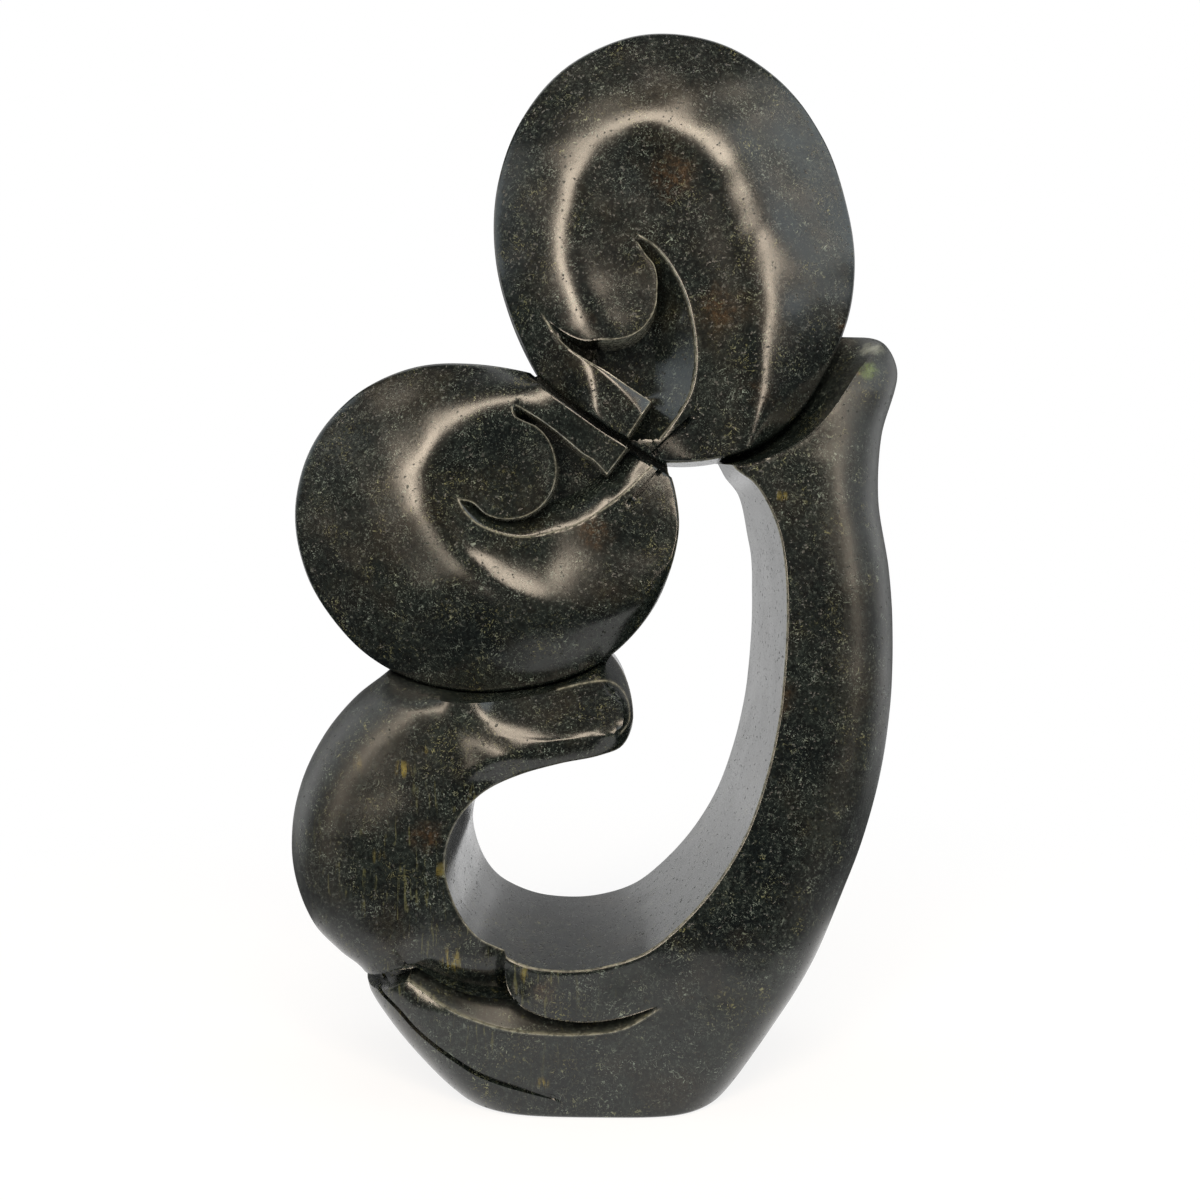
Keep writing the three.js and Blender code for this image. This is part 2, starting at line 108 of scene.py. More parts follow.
# Heads
OPEN_FROM = 12.0
OPEN_REACH = 50.0
GAP_REACH = 24.0
RIM_FRONT = -17.0
RIM_BACK = -8.0
RIM_ROUND = 1.3
RIM_SPREAD = 1.5
CREST_DEPTH = -28.0
OUTER_SOFTNESS = 8.0
# The lower dish is steep at its lower left and calmer beside this x and above this z: (start, reach, more)
CALM_X = (2.0, 26.0, 16.0)
CALM_Z = (200.0, 20.0, 9.0)
DOME_BACK = 25.0
DOME_POWER = 0.8
BACK_BLEND = 9.0
NO_BACK = -60.0


def lerp(a, b, share):
    return a + (b - a) * share


def clamp01(value):
    return np.clip(value, 0.0, 1.0)


def smooth(value):
    t = clamp01(value)
    return t * t * (3 - 2 * t)


def ramp(value, start, reach):
    """Rises smoothly from 0 at the start to 1 at the end of the reach."""
    return smooth((value - start) / reach)


def soft_length(value, softness):
    """The value's size, with the corner at 0 rounded."""
    return np.sqrt(value**2 + softness**2) - softness


def rounding(distance, radius):
    """How far a rounded edge lies below the surface at a distance from the edge."""
    left = clamp01(1 - distance / radius)
    return radius * (1 - np.sqrt(1 - left**2))


def smooth_max(a, b, reach):
    h = clamp01(0.5 + 0.5 * (a - b) / reach)
    return lerp(b, a, h) + reach * h * (1 - h)


def smooth_min(a, b, reach):
    return -smooth_max(-a, -b, reach)


def smooth_points(points, closed, per_span=12):
    """Centripetal Catmull-Rom line through the points."""
    pts = np.array(points, float)
    count = len(pts)
    spans = count if closed else count - 1
    if closed:
        ext = np.vstack([pts[-1:], pts, pts[:2]])
    else:
        ext = np.vstack([2 * pts[:1] - pts[1:2], pts, 2 * pts[-1:] - pts[-2:-1]])
    out = []
    for i in range(spans):
        p0, p1, p2, p3 = ext[i:i + 4]
        d0, d1, d2 = (max(np.linalg.norm(b - a), 1e-6) ** 0.5 for a, b in ((p0, p1), (p1, p2), (p2, p3)))
        t1 = ((p1 - p0) / d0 - (p2 - p0) / (d0 + d1) + (p2 - p1) / d1) * d1
        t2 = ((p2 - p1) / d1 - (p3 - p1) / (d1 + d2) + (p3 - p2) / d2) * d1
        for k in range(per_span):
            t = k / per_span
            out.append(
                (2 * t**3 - 3 * t**2 + 1) * p1 + (t**3 - 2 * t**2 + t) * t1
                + (3 * t**2 - 2 * t**3) * p2 + (t**3 - t**2) * t2
            )
    if not closed:
        out.append(pts[-1])
    return np.array(out)


def resample(points, closed, step):
    pts = np.vstack([points, points[:1]]) if closed else np.asarray(points, float)
    lengths = np.r_[0, np.cumsum(np.linalg.norm(np.diff(pts, axis=0), axis=1))]
    count = max(2, int(round(lengths[-1] / step)))
    at = np.linspace(0, lengths[-1], count + 1)
    if closed:
        at = at[:-1]
    return np.stack([np.interp(at, lengths, pts[:, k]) for k in (0, 1)], axis=1)


class Line:
    """A smooth line or loop of (x, z). A loop runs anticlockwise, with its inside on the left."""

    def __init__(self, points, closed=False, step=LINE_STEP, rounded=True):
        base = smooth_points(points, closed) if rounded else np.array(points, float)
        self.closed = closed
        self.given = points
        self.points = resample(base, closed, step) if step else base
        if closed and self._area() < 0:
            self.points = self.points[::-1].copy()

    def _area(self):
        x, z = self.points.T
        return 0.5 * np.sum(x * np.roll(z, -1) - z * np.roll(x, -1))

    def segments(self):
        a = self.points
        b = np.roll(a, -1, axis=0)
        return (a, b) if self.closed else (a[:-1], b[:-1])

    def nearest(self, p):
        """Distance to the line, and a value that is positive where the nearest segment has p on its left."""
        a, b = self.segments()
        ab = b - a
        ab2 = (ab**2).sum(1) + NOT_ZERO
        away, left = np.empty(len(p)), np.empty(len(p))
        for i in range(0, len(p), CHUNK):
            q = p[i:i + CHUNK]
            px = q[:, None, 0] - a[None, :, 0]
            pz = q[:, None, 1] - a[None, :, 1]
            t = np.clip((px * ab[:, 0] + pz * ab[:, 1]) / ab2, 0, 1)
            squares = (px - t * ab[:, 0]) ** 2 + (pz - t * ab[:, 1]) ** 2
            near = squares.argmin(1)
            rows = np.arange(len(q))
            away[i:i + CHUNK] = np.sqrt(squares[rows, near])
            left[i:i + CHUNK] = ab[near, 0] * pz[rows, near] - ab[near, 1] * px[rows, near]
        return away, left

    def distance(self, p):
        return self.nearest(p)[0]

    def inside(self, p):
        a, b = self.points, np.roll(self.points, -1, axis=0)
        out = np.zeros(len(p), bool)
        for i in range(0, len(p), CHUNK):
            x = p[i:i + CHUNK, 0][:, None]
            z = p[i:i + CHUNK, 1][:, None]
            cross = (a[:, 1] > z) != (b[:, 1] > z)
            dz = np.where(np.abs(b[:, 1] - a[:, 1]) < NOT_ZERO, NOT_ZERO, b[:, 1] - a[:, 1])
            left = x < (b[:, 0] - a[:, 0]) * (z - a[:, 1]) / dz + a[:, 0]
            out[i:i + CHUNK] = (cross & left).sum(1) % 2 == 1
        return out

    def inset(self, p):
        """Distance from a loop, positive inside it."""
        return np.where(self.inside(p), 1.0, -1.0) * self.distance(p)

    def moved(self, distance):
        """The line moved to its left, inward for a loop. Points that end up nearer are left out."""
        pts = self.points
        if self.closed:
            tangent = np.roll(pts, -1, axis=0) - np.roll(pts, 1, axis=0)
        else:
            tangent = np.gradient(pts, axis=0)
        tangent /= np.linalg.norm(tangent, axis=1)[:, None] + NOT_ZERO
        out = pts + distance * np.stack([-tangent[:, 1], tangent[:, 0]], axis=1)
        keep = self.distance(out) > abs(distance) - MOVED_SLACK - MOVED_SHARE * abs(distance)
        return out, keep


# Face carving: each head has a hollow between a deep side, under the eye and along the nose, and the cheek
upper_eye = Line([
    (14.2, 318.4), (17.3, 313.8), (20.1, 310.5), (21.4, 305.6), (21.4, 300.7), (21.1, 295.8), (19.4, 290.9),
    (15.9, 286.1), (11.1, 283), (5.5, 281.6), (-0.1, 281.6),
])
upper_cheek = Line([
    (15.2, 320.6), (19.5, 318.1), (23.7, 313.9), (27.9, 307.6), (31, 301.3), (33.5, 293.7), (35.2, 285.2),
    (35.9, 276.7), (35.5, 269.2), (33.8, 262.2), (30.6, 255.9), (27.2, 251), (22.6, 245.6),
])
upper_nose_top = Line([
    (-21.2, 291.1), (-16.6, 284.2), (-11.2, 278.7), (-4.1, 273.9), (3, 269.8), (11.2, 264.3), (19.3, 259.3),
])
upper_nose_ridge = Line([
    (-20, 289.5), (-5.6, 274.4), (1.9, 267.8), (8.2, 261.9), (11.9, 257.8), (15.3, 253.3),
])
upper_nose_end = Line([(19.3, 259.3), (10.5, 246)], rounded=False)
upper_lid = Line([(-0.1, 281.6), (-5, 281.3), (-10.5, 283.2), (-16, 286.8), (-21.2, 291.1)])
EYE_CORNER_X = (-21, 19)
LOWER_HOLLOW_TIP = (-33, 256.5)
lower_eye = Line([
    (-51.9, 222.1), (-47.8, 221), (-42.9, 216.8), (-36.8, 215), (-29.7, 215.7), (-23.7, 218.7),
    (-18.6, 224.7), (-16.5, 231.9), (-17.1, 239), (-19.6, 245), (-23.7, 249.2), (-28.6, 251.4),
    (-31.7, 253.2), (-32.8, 256),
])
lower_cheek = Line([
    (-52.8, 221.4), (-51, 218.1), (-47.1, 214), (-40.1, 210.4), (-29.9, 208.3), (-19.7, 209.8),
    (-9.4, 212.8), (0.4, 218.1), (10.6, 226.1), (14.4, 229.9), (19.8, 235.9),
])
lower_nose_bottom = Line([
    (-31.4, 257.2), (-22.5, 252), (-17, 248.2), (-11.6, 243.9), (-6.4, 239.6), (-2.4, 237.2), (2.6, 231.9),
])
lower_nose_end = Line([(2.6, 231.9), (10.5, 242)], rounded=False)
contact = Line([
    (-25.5, 270.3), (-22.6, 268), (-14.7, 261.2), (-6.4, 254.8), (1.3, 249.2), (10.3, 243.7), (18.8, 238.3),
    (24.4, 234.9), (29, 232),
])
upper_mouth = Line([(34.6, 253.2), (27, 246.3), (18.6, 238.5)])
lower_mouth = Line([(24.2, 235), (17.5, 228), (10.8, 220.8)])
CONTACT_HALF = 1.5
CONTACT_FLOOR = 12.0
# Cut lines: half width, depth, and how far they fade at their two ends
MOUTH = (1.1, 3.6, (3, 3))
WRAP = (0.9, 1.7, (5, 26))
GROOVE_WALL = 0.45
HOLLOW_FLOOR = 13.5
CHEEK_STEP = 1.1
HOLLOW_FADE = 9.0
# Width and roundness of the ramp from the cheek line down to the hollow's floor
UPPER_RAMP = (14.5, 1.0)
LOWER_RAMP = (12.0, 1.6)
UPPER_NOSE_X = (-16, 16)
NOSE_RIDGE_HEIGHT = 26.2
NOSE_RIDGE_SOFT = (1.5, 1.2)
NOSE_FACE_SLOPE = 0.06
NOSE_SIDE_SLOPE = 0.5
LOWER_NOSE_X = (-36, 34)
LOWER_NOSE_HEIGHT = 24.6
LOWER_NOSE_SLOPE = 0.16

# Arm's front edge beside the upper head, with the dark slope between it and the head's rim
arm_edge = Line([
    (44.5, 233.8), (50.4, 233.6), (55.9, 234.5), (65.9, 238.6), (74.1, 243.2), (81.3, 249.5), (87.7, 257.7),
    (93.2, 265.7), (97.7, 271.7), (104, 278.5), (110, 284),
])
ARM_SLOPE_FLOOR = 9.5
ARM_SLOPE_POWER = 1.2
# Groove round the lower head, on the body above a height
GROOVE_ABOVE = 100.0
GROOVE_FLOOR = 12.0
GROOVE_REACH = 2.4
# Left figure's hand: a facet between the head and a soft ridge
hand_ridge = Line([
    (-50, 172), (-53.5, 156), (-50.8, 144.5), (-43, 137.3), (-31, 134.8), (-17, 133.8), (-3, 135),
    (6, 136.5), (16, 138.5),
])
FACET_SLOPE = 0.5
# The facet is steeper by this much beyond a distance from the ridge, on the left and on the right
FACET_FALL = 0.3
FACET_BEND = (7.0, 1.0)
FACET_BEND_X = (-50, 40)
FACET_BEND_SOFTNESS = 2.0
RIDGE_START = 38.4
RIDGE_HEIGHT = 38.7
RIDGE_RISE = 17.0
RIDGE_OUTSIDE = 0.5
# Roundness of the ridge on the left and on the right
RIDGE_SOFTNESS = (3.4, 1.2)
RIDGE_SOFTNESS_X = (-50, 36)
# Thin line round the hand's flat end, painted pale as a highlight
hand_line = Line([(-16, 150.9), (-7, 153), (2.5, 154), (8, 151), (10.8, 145), (10.6, 139.8), (7.2, 135.8)])
SHOULDER_TOP = 18.0
SHOULDER_REACH = 9.0
SHOULDER_X = (-74, 20)
# Rounding along the hand's edge by direction from its centre, in degrees: (angle, reach, drop)
HAND_EDGE = [
    (-180, 9, 5), (-100, 9, 6), (-60, 7, 8), (-20, 4.5, 11), (20, 4.5, 13), (55, 8, 17), (90, 9, 17),
    (180, 9, 5),
]
HAND_CENTRE = (-1, 144)
HAND_EDGE_POWER = 1.3
HAND_EDGE_X = (24, -4)
HAND_EDGE_Z = (108, 14)

# Crossing of the limbs at the bottom
crease = Line([
    (-70, 52.5), (-66.4, 51.6), (-59, 48), (-51.8, 45.1), (-43.4, 43.3), (-34, 42.6), (-30.2, 42.4),
])
tongue = Line([
    (-36.5, 60.5), (-33.9, 57.5), (-34.1, 52.4), (-32.7, 45.7), (-28.9, 41.1), (-21.7, 37.2), (-7.1, 34.7),
    (7.1, 36.1), (20.5, 40.2),
])
wrap_top = Line([
    (-69.2, 47.3), (-61.7, 43.1), (-57.1, 40.5), (-51.3, 37.7), (-45.2, 35.5), (-36.3, 32.6), (-24.8, 30.7),
    (-6.8, 30.2), (8, 32.2), (20.6, 39),
])
wrap_line = Line([
    (-84, 44), (-80, 41), (-73.5, 36.4), (-66.4, 29.9), (-59, 24.9), (-52.5, 21.2), (-43.4, 16.2),
    (-34, 12.6), (-25, 10), (-9, 6),
])
wrap_end = Line([(-94, 40.5), (-88, 40.2), (-80.5, 41.7), (-75, 44.6), (-69.2, 47.3)])
limb_end = Line([(-66.4, 51.6), (-74, 50.4), (-84, 46.6), (-94, 43.5)])
# The left limb sinks towards the crease and the tongue: (drop, reach)
CREASE_SINK = (3.0, 12.0)
CREASE_SINK_X = (-74, 14)
TONGUE_SINK = (2.0, 9.0)
# The strip rises from the crease, where it lies lowest, and from under the tongue, to the wrap's top
STRIP_DROP = 8.5
UNDER_TONGUE_DROP = 10.0
UNDER_TONGUE_X = (-40, 14)
STRIP_END_X = (21, -9)
WRAP_STEP = 0.9
WRAP_STEP_X = (-2, -20)
RECESS_DROP = 11.0
# Steep walls of the cuts, the bevel on their edges, and the rounds
WALL = 0.28
BEVEL = 0.9
BEVEL_DROP = 0.34
UNDERSIDE_ROUND = 1.6
UNDERSIDE_INSET = 3.0
OPENING_ROUND = 0.8

# Slow unevenness of hand carving: (wavelength, height, direction in degrees, phase), and its swing
WAVES = [
    (41, 0.10, 15, 0.3), (33, 0.08, 75, 1.9), (27, 0.07, 130, 4.1), (19, 0.045, 40, 2.6),
    (15, 0.035, 105, 5.2),
]
WAVE_SWING = 1.7
WAVE_SWING_LENGTH = 1.3
BACK_WAVE_SHIFT = 500

# Values on the mesh for the material: thin edges painted pale as a highlight, and the duller outer rounding
# of the limbs
GLINT_WIDTH = 0.3
DULL_FROM = 14.0
DULL_ABOVE = 55.0
DULL_REACH = 20.0
STRIP_EDGE = 0.5
DULL_ROUGHNESS = 0.26
STONE_IOR = 1.55
BUMP_DISTANCE = 0.0001


def stretch(line, start, end):
    """A line's own points from one of the given places, by its number, to another."""
    first, last = (int(np.hypot(*(line.points - line.given[k]).T).argmin()) for k in (start, end))
    return line.points[first:last + 1] if first <= last else line.points[last:first + 1][::-1]


def region(*sides):
    """The inside of a loop made of lines' own points, so that it meets its neighbours exactly."""
    return Line(np.vstack(sides), closed=True, step=None, rounded=False)


class Head:
    """A rim all round, and a ridge, the crest, that runs round the face and is open towards the mouth.

    Its dish is given by the ridge's place inside its line, the ridge's roundness, and the depth and reach.
    """

    def __init__(self, rim, crest, close, centre, middle, opens, open_drop, dish, calm):
        self.rim = Line(rim, closed=True, step=LOOP_STEP)
        self.crest = Line(crest)
        self.face = Line(np.vstack([smooth_points(crest, False), [close]]), closed=True, rounded=False)
        self.gap = Line([close, crest[0]], rounded=False)
        self.centre = centre
        self.middle = middle
        self.opens = opens
        self.open_drop = open_drop
        self.dish = dish
        self.calm = calm

    def front(self, p):
        """Height of the front towards the viewer, before carving."""
        shift, softness, drop, reach = self.dish
        edge = np.maximum(self.rim.inset(p), 0)
        away = np.where(self.face.inside(p), 1.0, -1.0) * self.crest.distance(p) - shift
        from_centre = p - np.array(self.centre)
        toward = from_centre[:, 0] * math.cos(self.opens) + from_centre[:, 1] * math.sin(self.opens)
        crest = -CREST_DEPTH - self.open_drop * ramp(toward, OPEN_FROM, OPEN_REACH)
        soft = soft_length(away, OUTER_SOFTNESS)
        outer = lerp(crest, -RIM_FRONT, soft / (soft + edge + RIM_SPREAD))
        if self.calm:
            reach = reach + CALM_X[2] * (1 - smooth(np.abs(p[:, 0] - CALM_X[0]) / CALM_X[1]))
            reach = reach + CALM_Z[2] * ramp(p[:, 1], *CALM_Z[:2])
        soft = soft_length(away, softness)
        inner = crest - drop * (1 - np.exp(-soft / reach))
        gap = self.gap.distance(p) / GAP_REACH
        share = np.where(away > 0, smooth(0.5 + gap), smooth(0.5 - gap))
        height = lerp(outer, inner, share)
        return height - rounding(edge, RIM_ROUND)

    def back(self, p):
        edge = np.maximum(self.rim.inset(p), 0)
        out = np.hypot(p[:, 0] - self.middle[0], p[:, 1] - self.middle[1])
        share = out / (out + edge + TINY)
        return lerp(RIM_BACK, DOME_BACK, (1 - share**2) ** DOME_POWER)


outline = Line(BODY_OUTLINE, closed=True, step=LOOP_STEP)
hole = Line(OPENING, closed=True, step=LOOP_STEP)
upper = Head(
    rim=[
        (97.6, 317.5), (93.3, 341), (84.2, 364), (67.9, 384.5), (43.5, 398.9), (14.6, 400.85),
        (-12.1, 389.4), (-30.6, 367.9), (-39.5, 342.4), (-40.3, 317.3), (-34.9, 293.8), (-22, 268),
        (-5, 249.5), (14, 239), (35, 236.6), (57.1, 241.6), (75.5, 255), (89.6, 278), (96.3, 297),
    ],
    crest=[
        (-0.7, 282), (-6.5, 289.5), (-10.5, 298.5), (-13.5, 314), (-13.4, 331.8), (-8.5, 346.5),
        (0.5, 357.5), (16, 365), (30.5, 361.5), (43.6, 350.3), (52.9, 331.8), (59.3, 309), (62, 286.4),
        (62.5, 263.7), (61.5, 250), (60, 240), (57, 228),
    ],
    close=(28, 231), centre=(23, 301), middle=(28.5, 317.6),
    opens=-math.pi / 2, open_drop=2.0, dish=(5.0, 5.0, 3.5, 14.0), calm=False,
)
lower = Head(
    rim=[
        (29.2, 206.3), (29.6, 220), (25.5, 236.5), (15, 251.5), (-2, 263.5), (-24, 270.8), (-48.9, 275),
        (-71.8, 273.6), (-93.9, 263), (-110.4, 243.9), (-117, 219), (-112.5, 194), (-99.5, 173.2),
        (-86, 161), (-69.3, 153), (-50, 149.4), (-30.8, 150.4), (-11.5, 154.9), (5.2, 164), (21, 182.3),
    ],
    crest=[
        (-8, 252.5), (-18.7, 254), (-30, 255.5), (-43, 252.5), (-54.5, 246.5), (-62, 238.5), (-64.5, 229),
        (-61.5, 216), (-55, 204), (-43, 192.5), (-27, 184), (-11.5, 181.5), (3, 183), (15, 188),
        (25, 198), (33, 210),
    ],
    close=(45, 238), centre=(-16, 222), middle=(-43, 212.3),
    opens=0.25, open_drop=6.0, dish=(0.0, 4.0, 7.0, 10.0), calm=True,
)

upper_nose_side = stretch(upper_nose_top, 3, -1)
upper_deep = Line(
    np.vstack([upper_eye.points, upper_nose_side, upper_nose_end.points]), step=None, rounded=False
)
upper_hollow = region(upper_deep.points, upper_cheek.points[::-1])
upper_corner = region(stretch(upper_nose_top, 0, 3), upper_lid.points)
upper_nose = region(upper_nose_top.points, upper_nose_end.points, [contact.given[5]], stretch(contact, 5, 1))
lower_deep = Line(
    np.vstack([lower_eye.points, lower_nose_bottom.points, lower_nose_end.points]), step=None, rounded=False
)
lower_hollow = region(lower_deep.points, lower_cheek.points[::-1])
lower_nose = region(stretch(contact, 1, 5), lower_nose_end.points[::-1], lower_nose_bottom.points[::-1])
strip = region(stretch(crease, 1, -1), stretch(tongue, 4, -1), wrap_top.points[::-1])
limb_face = region(crease.points[::-1], [(-92, 62), (-60, 84)], stretch(tongue, 0, 4))
recess = region(wrap_end.points, limb_end.points)
arm_slope = region(arm_edge.points, [(96, 300), (88, 277), (75, 256), (57, 243), (40, 239)])
cut_lines = (
    upper_eye, upper_lid, upper_nose_top, upper_nose_end, upper_cheek, lower_eye, lower_nose_bottom,
    lower_nose_end, lower_cheek, crease, tongue, wrap_top, wrap_end, limb_end, arm_edge,
)
# lines whose thin edges get a painted pale highlight
glint_lines = (
    upper_eye, upper_nose_top, upper_nose_end, upper_cheek, lower_eye, lower_nose_bottom, lower_nose_end,
    lower_cheek, wrap_top, hand_line,
)


def read_table(rows, z):
    columns = np.array(rows, float).T
    return [np.interp(z, columns[0], column) for column in columns[1:]]


def body_sides(p, inset):
    """Front height, middle plane and back depth of the limbs."""
    x, z = p.T
    q = clamp01(inset / EDGE_ROUNDING)
    fullness = (1 - (1 - q) ** EDGE_EXPONENT) ** (1 / EDGE_EXPONENT)
    share = ramp(x, *LIMB_CHANGE_X)
    front_share = lerp(share, ramp(x, *WRAP_FRONT_X), ramp(z, *WRAP_FRONT_Z))
    left, right = read_table(LEFT_LIMB, z), read_table(RIGHT_LIMB, z)
    middle = -ARM_FORWARD * ramp(z, *ARM_FORWARD_Z) * ramp(x, *ARM_FORWARD_X)
    corner = np.hypot(x - CORNER[0], z - CORNER[1])
    full_back = lerp(CORNER_BACK, lerp(left[1], right[1], share), smooth(corner / CORNER_REACH))
    front = lerp(-middle, lerp(left[0], right[0], front_share), fullness)
    back = lerp(middle, full_back, fullness)
    beyond = np.maximum(-inset, 0) * FALL
    return front - beyond, back - beyond, lerp(-middle, left[0], fullness)


def cut(height, p, area, floor):
    """Takes the height down to the floor inside an area, with a steep wall and a small bevel on its edge."""
    inset = area.inset(p)
    target = np.minimum(height, floor)
    step = clamp01(height - target)
    bevel = BEVEL_DROP * clamp01(1 + inset / BEVEL) ** 2 * step * (inset < 0)
    return lerp(height, target, clamp01(inset / WALL)) - bevel


def groove(height, p, line, shape):
    """A line cut below the surface, shallower towards its start and end."""
    half, depth, fades = shape
    amount = clamp01((half - line.distance(p)) / (GROOVE_WALL * half))
    for end, fade in zip((line.points[0], line.points[-1]), fades):
        amount = amount * smooth(np.hypot(*(p - end).T) / fade)
    return height - depth * amount


def waviness(p):
    out = np.zeros(len(p))
    for length, size, direction, phase in WAVES:
        angle = math.radians(direction)
        along = p[:, 0] * math.cos(angle) + p[:, 1] * math.sin(angle)
        across = p[:, 1] * math.cos(angle) - p[:, 0] * math.sin(angle)
        swing = WAVE_SWING * np.sin(across / (WAVE_SWING_LENGTH * length))
        out += size * np.sin(2 * math.pi * along / length + phase + swing)
    return out


def carve_hand(p, height, below, near_head):
    """The left figure's hand and shoulder, a facet between the lower head and a soft ridge."""
    x, z = p.T
    shoulder = lerp(SHOULDER_TOP, height, 1 - (1 - clamp01(below / SHOULDER_REACH)) ** 2)
    away, side = hand_ridge.nearest(p)
    ridge = away * np.sign(side)
    from_start = np.hypot(x - hand_ridge.given[1][0], z - hand_ridge.given[1][1])
    crest = lerp(RIDGE_START, RIDGE_HEIGHT, smooth(from_start / RIDGE_RISE))
    beyond = ridge - lerp(*FACET_BEND, ramp(x, *FACET_BEND_X))
    steeper = 0.5 * (beyond + np.sqrt(beyond**2 + FACET_BEND_SOFTNESS**2))
    facet = crest - np.where(ridge > 0, FACET_SLOPE * ridge + FACET_FALL * steeper, RIDGE_OUTSIDE * ridge)
    plain = np.minimum(height, lerp(shoulder, height, ramp(x, *SHOULDER_X)))
    shaped = smooth_min(plain, facet, lerp(*RIDGE_SOFTNESS, ramp(x, *RIDGE_SOFTNESS_X)))
    return np.where(near_head, np.minimum(shaped, height), height)


def carve_crossing(p, height, left_height):
    """The left limb's face, the strip under its end, and the right limb's wrap with its long cut line."""
    x = p[:, 0]
    to_crease = crease.distance(p)
    to_tongue = tongue.distance(p)
    drop, reach = CREASE_SINK
    limb = left_height - drop * (1 - smooth(to_crease / reach)) ** 2 * ramp(x, *CREASE_SINK_X)
    drop, reach = TONGUE_SINK
    limb = limb - drop * (1 - smooth(to_tongue / reach)) ** 2
    height = cut(height, p, limb_face, limb)
    deep = np.minimum(to_crease, to_tongue)
    share = deep / (deep + wrap_top.distance(p) + TINY)
    drop = lerp(STRIP_DROP, UNDER_TONGUE_DROP, ramp(x, *UNDER_TONGUE_X)) * ramp(x, *STRIP_END_X)
    height = cut(height, p, strip, height - lerp(drop, WRAP_STEP * ramp(x, *WRAP_STEP_X), share))
    height = cut(height, p, recess, height - RECESS_DROP)
    return groove(height, p, wrap_line, WRAP)


def carve_body(p, height, left_height, inset):
    x, z = p.T
    below = np.maximum(-lower.rim.inset(p), 0)
    near_head = (x < CORNER[0]) & (z > GROOVE_ABOVE)
    height = carve_hand(p, height, below, near_head)
    # rounding of the hand's edge towards the opening, and the small round along the rest of it
    from_hole = np.maximum(-hole.inset(p), 0)
    angle = np.degrees(np.arctan2(z - HAND_CENTRE[1], x - HAND_CENTRE[0]))
    reach, drop = read_table(HAND_EDGE, angle)
    is_hand = ramp(z, *HAND_EDGE_Z) * ramp(x, *HAND_EDGE_X)
    height = height - is_hand * drop * clamp01(1 - from_hole / reach) ** HAND_EDGE_POWER
    height = height - rounding(from_hole, OPENING_ROUND)
    height = carve_crossing(p, height, left_height)
    # groove round the lower head, and the slope from the upper head's rim to the arm's edge
    floor = lerp(GROOVE_FLOOR, height, smooth(below / GROOVE_REACH))
    height = np.where(near_head, np.minimum(height, floor), height)
    beside = np.maximum(-upper.rim.inset(p), 0)
    share = beside / (beside + arm_edge.distance(p) + TINY)
    height = cut(height, p, arm_slope, lerp(ARM_SLOPE_FLOOR, height, share**ARM_SLOPE_POWER))
    return height - rounding(z, UNDERSIDE_ROUND) * clamp01(inset / UNDERSIDE_INSET)


def hollow(height, p, area, deep_side, cheek_side, shape, tip=None):
    width, roundness = shape
    deep = deep_side.distance(p)
    cheek = cheek_side.distance(p)
    t = 1 - clamp01(cheek / (np.minimum(deep + cheek, width) + TINY)) ** roundness
    size = clamp01((deep + cheek) / HOLLOW_FADE)
    if tip:
        size = size * smooth(np.hypot(p[:, 0] - tip[0], p[:, 1] - tip[1]) / HOLLOW_FADE)
    drop = lerp(height - HOLLOW_FLOOR, CHEEK_STEP, t)
    return cut(height, p, area, height - drop * size)


def carve_upper(p):
    x = p[:, 0]
    plain = upper.front(p)
    # nose: a ridge with a face down to the contact line and a steeper side up to the hollow
    ridge, side = upper_nose_ridge.nearest(p)
    soft = np.sqrt(ridge**2 + NOSE_RIDGE_SOFT[0]) - NOSE_RIDGE_SOFT[1]
    nose = NOSE_RIDGE_HEIGHT - np.where(side > 0, NOSE_SIDE_SLOPE, NOSE_FACE_SLOPE) * soft
    inset = upper_nose.inset(p)
    share = ramp(x, *UPPER_NOSE_X) * clamp01(inset / WALL + 1)
    height = np.where(inset > -WALL, lerp(plain, nose, share), plain)
    # trough along the nose's upper edge, deepest where it meets the hollow under the eye
    height = cut(height, p, upper_corner, lerp(plain, HOLLOW_FLOOR, ramp(x, *EYE_CORNER_X)))
    height = hollow(height, p, upper_hollow, upper_deep, upper_cheek, UPPER_RAMP)
    return groove(height, p, upper_mouth, MOUTH)


def carve_lower(p):
    height = lower.front(p)
    nose = LOWER_NOSE_HEIGHT - LOWER_NOSE_SLOPE * (contact.distance(p) - CONTACT_HALF)
    inset = lower_nose.inset(p)
    share = ramp(p[:, 0], *LOWER_NOSE_X) * clamp01(inset / WALL + 1)
    height = np.where(inset > -WALL, lerp(height, nose, share), height)
    height = hollow(height, p, lower_hollow, lower_deep, lower_cheek, LOWER_RAMP, LOWER_HOLLOW_TIP)
    return groove(height, p, lower_mouth, MOUTH)


def front(p, inset=None):
    """Depth y of the front surface."""
    inset = outline.inset(p) if inset is None else inset
    body, _, left_body = body_sides(p, inset)
    body = carve_body(p, body, left_body, inset)
    in_upper = upper.rim.inset(p)
    in_lower = lower.rim.inset(p)
    away, side = contact.nearest(p)
    take_upper = np.where((in_upper > 0) & (in_lower > 0), side > 0, in_upper > in_lower)
    edge = np.where(take_upper, in_upper, in_lower)
    head = np.where(take_upper, carve_upper(p), carve_lower(p))
    height = lerp(head, body, clamp01(-edge / WALL))
    wall = clamp01((CONTACT_HALF - away) / WALL)
    edge_bevel = BEVEL_DROP * clamp01((CONTACT_HALF + BEVEL - away) / BEVEL) ** 2
    in_heads = (in_upper > -WALL) | (in_lower > -WALL)
    height = np.where(in_heads, lerp(height - edge_bevel, np.minimum(height, CONTACT_FLOOR), wall), height)
    return -(height + waviness(p))


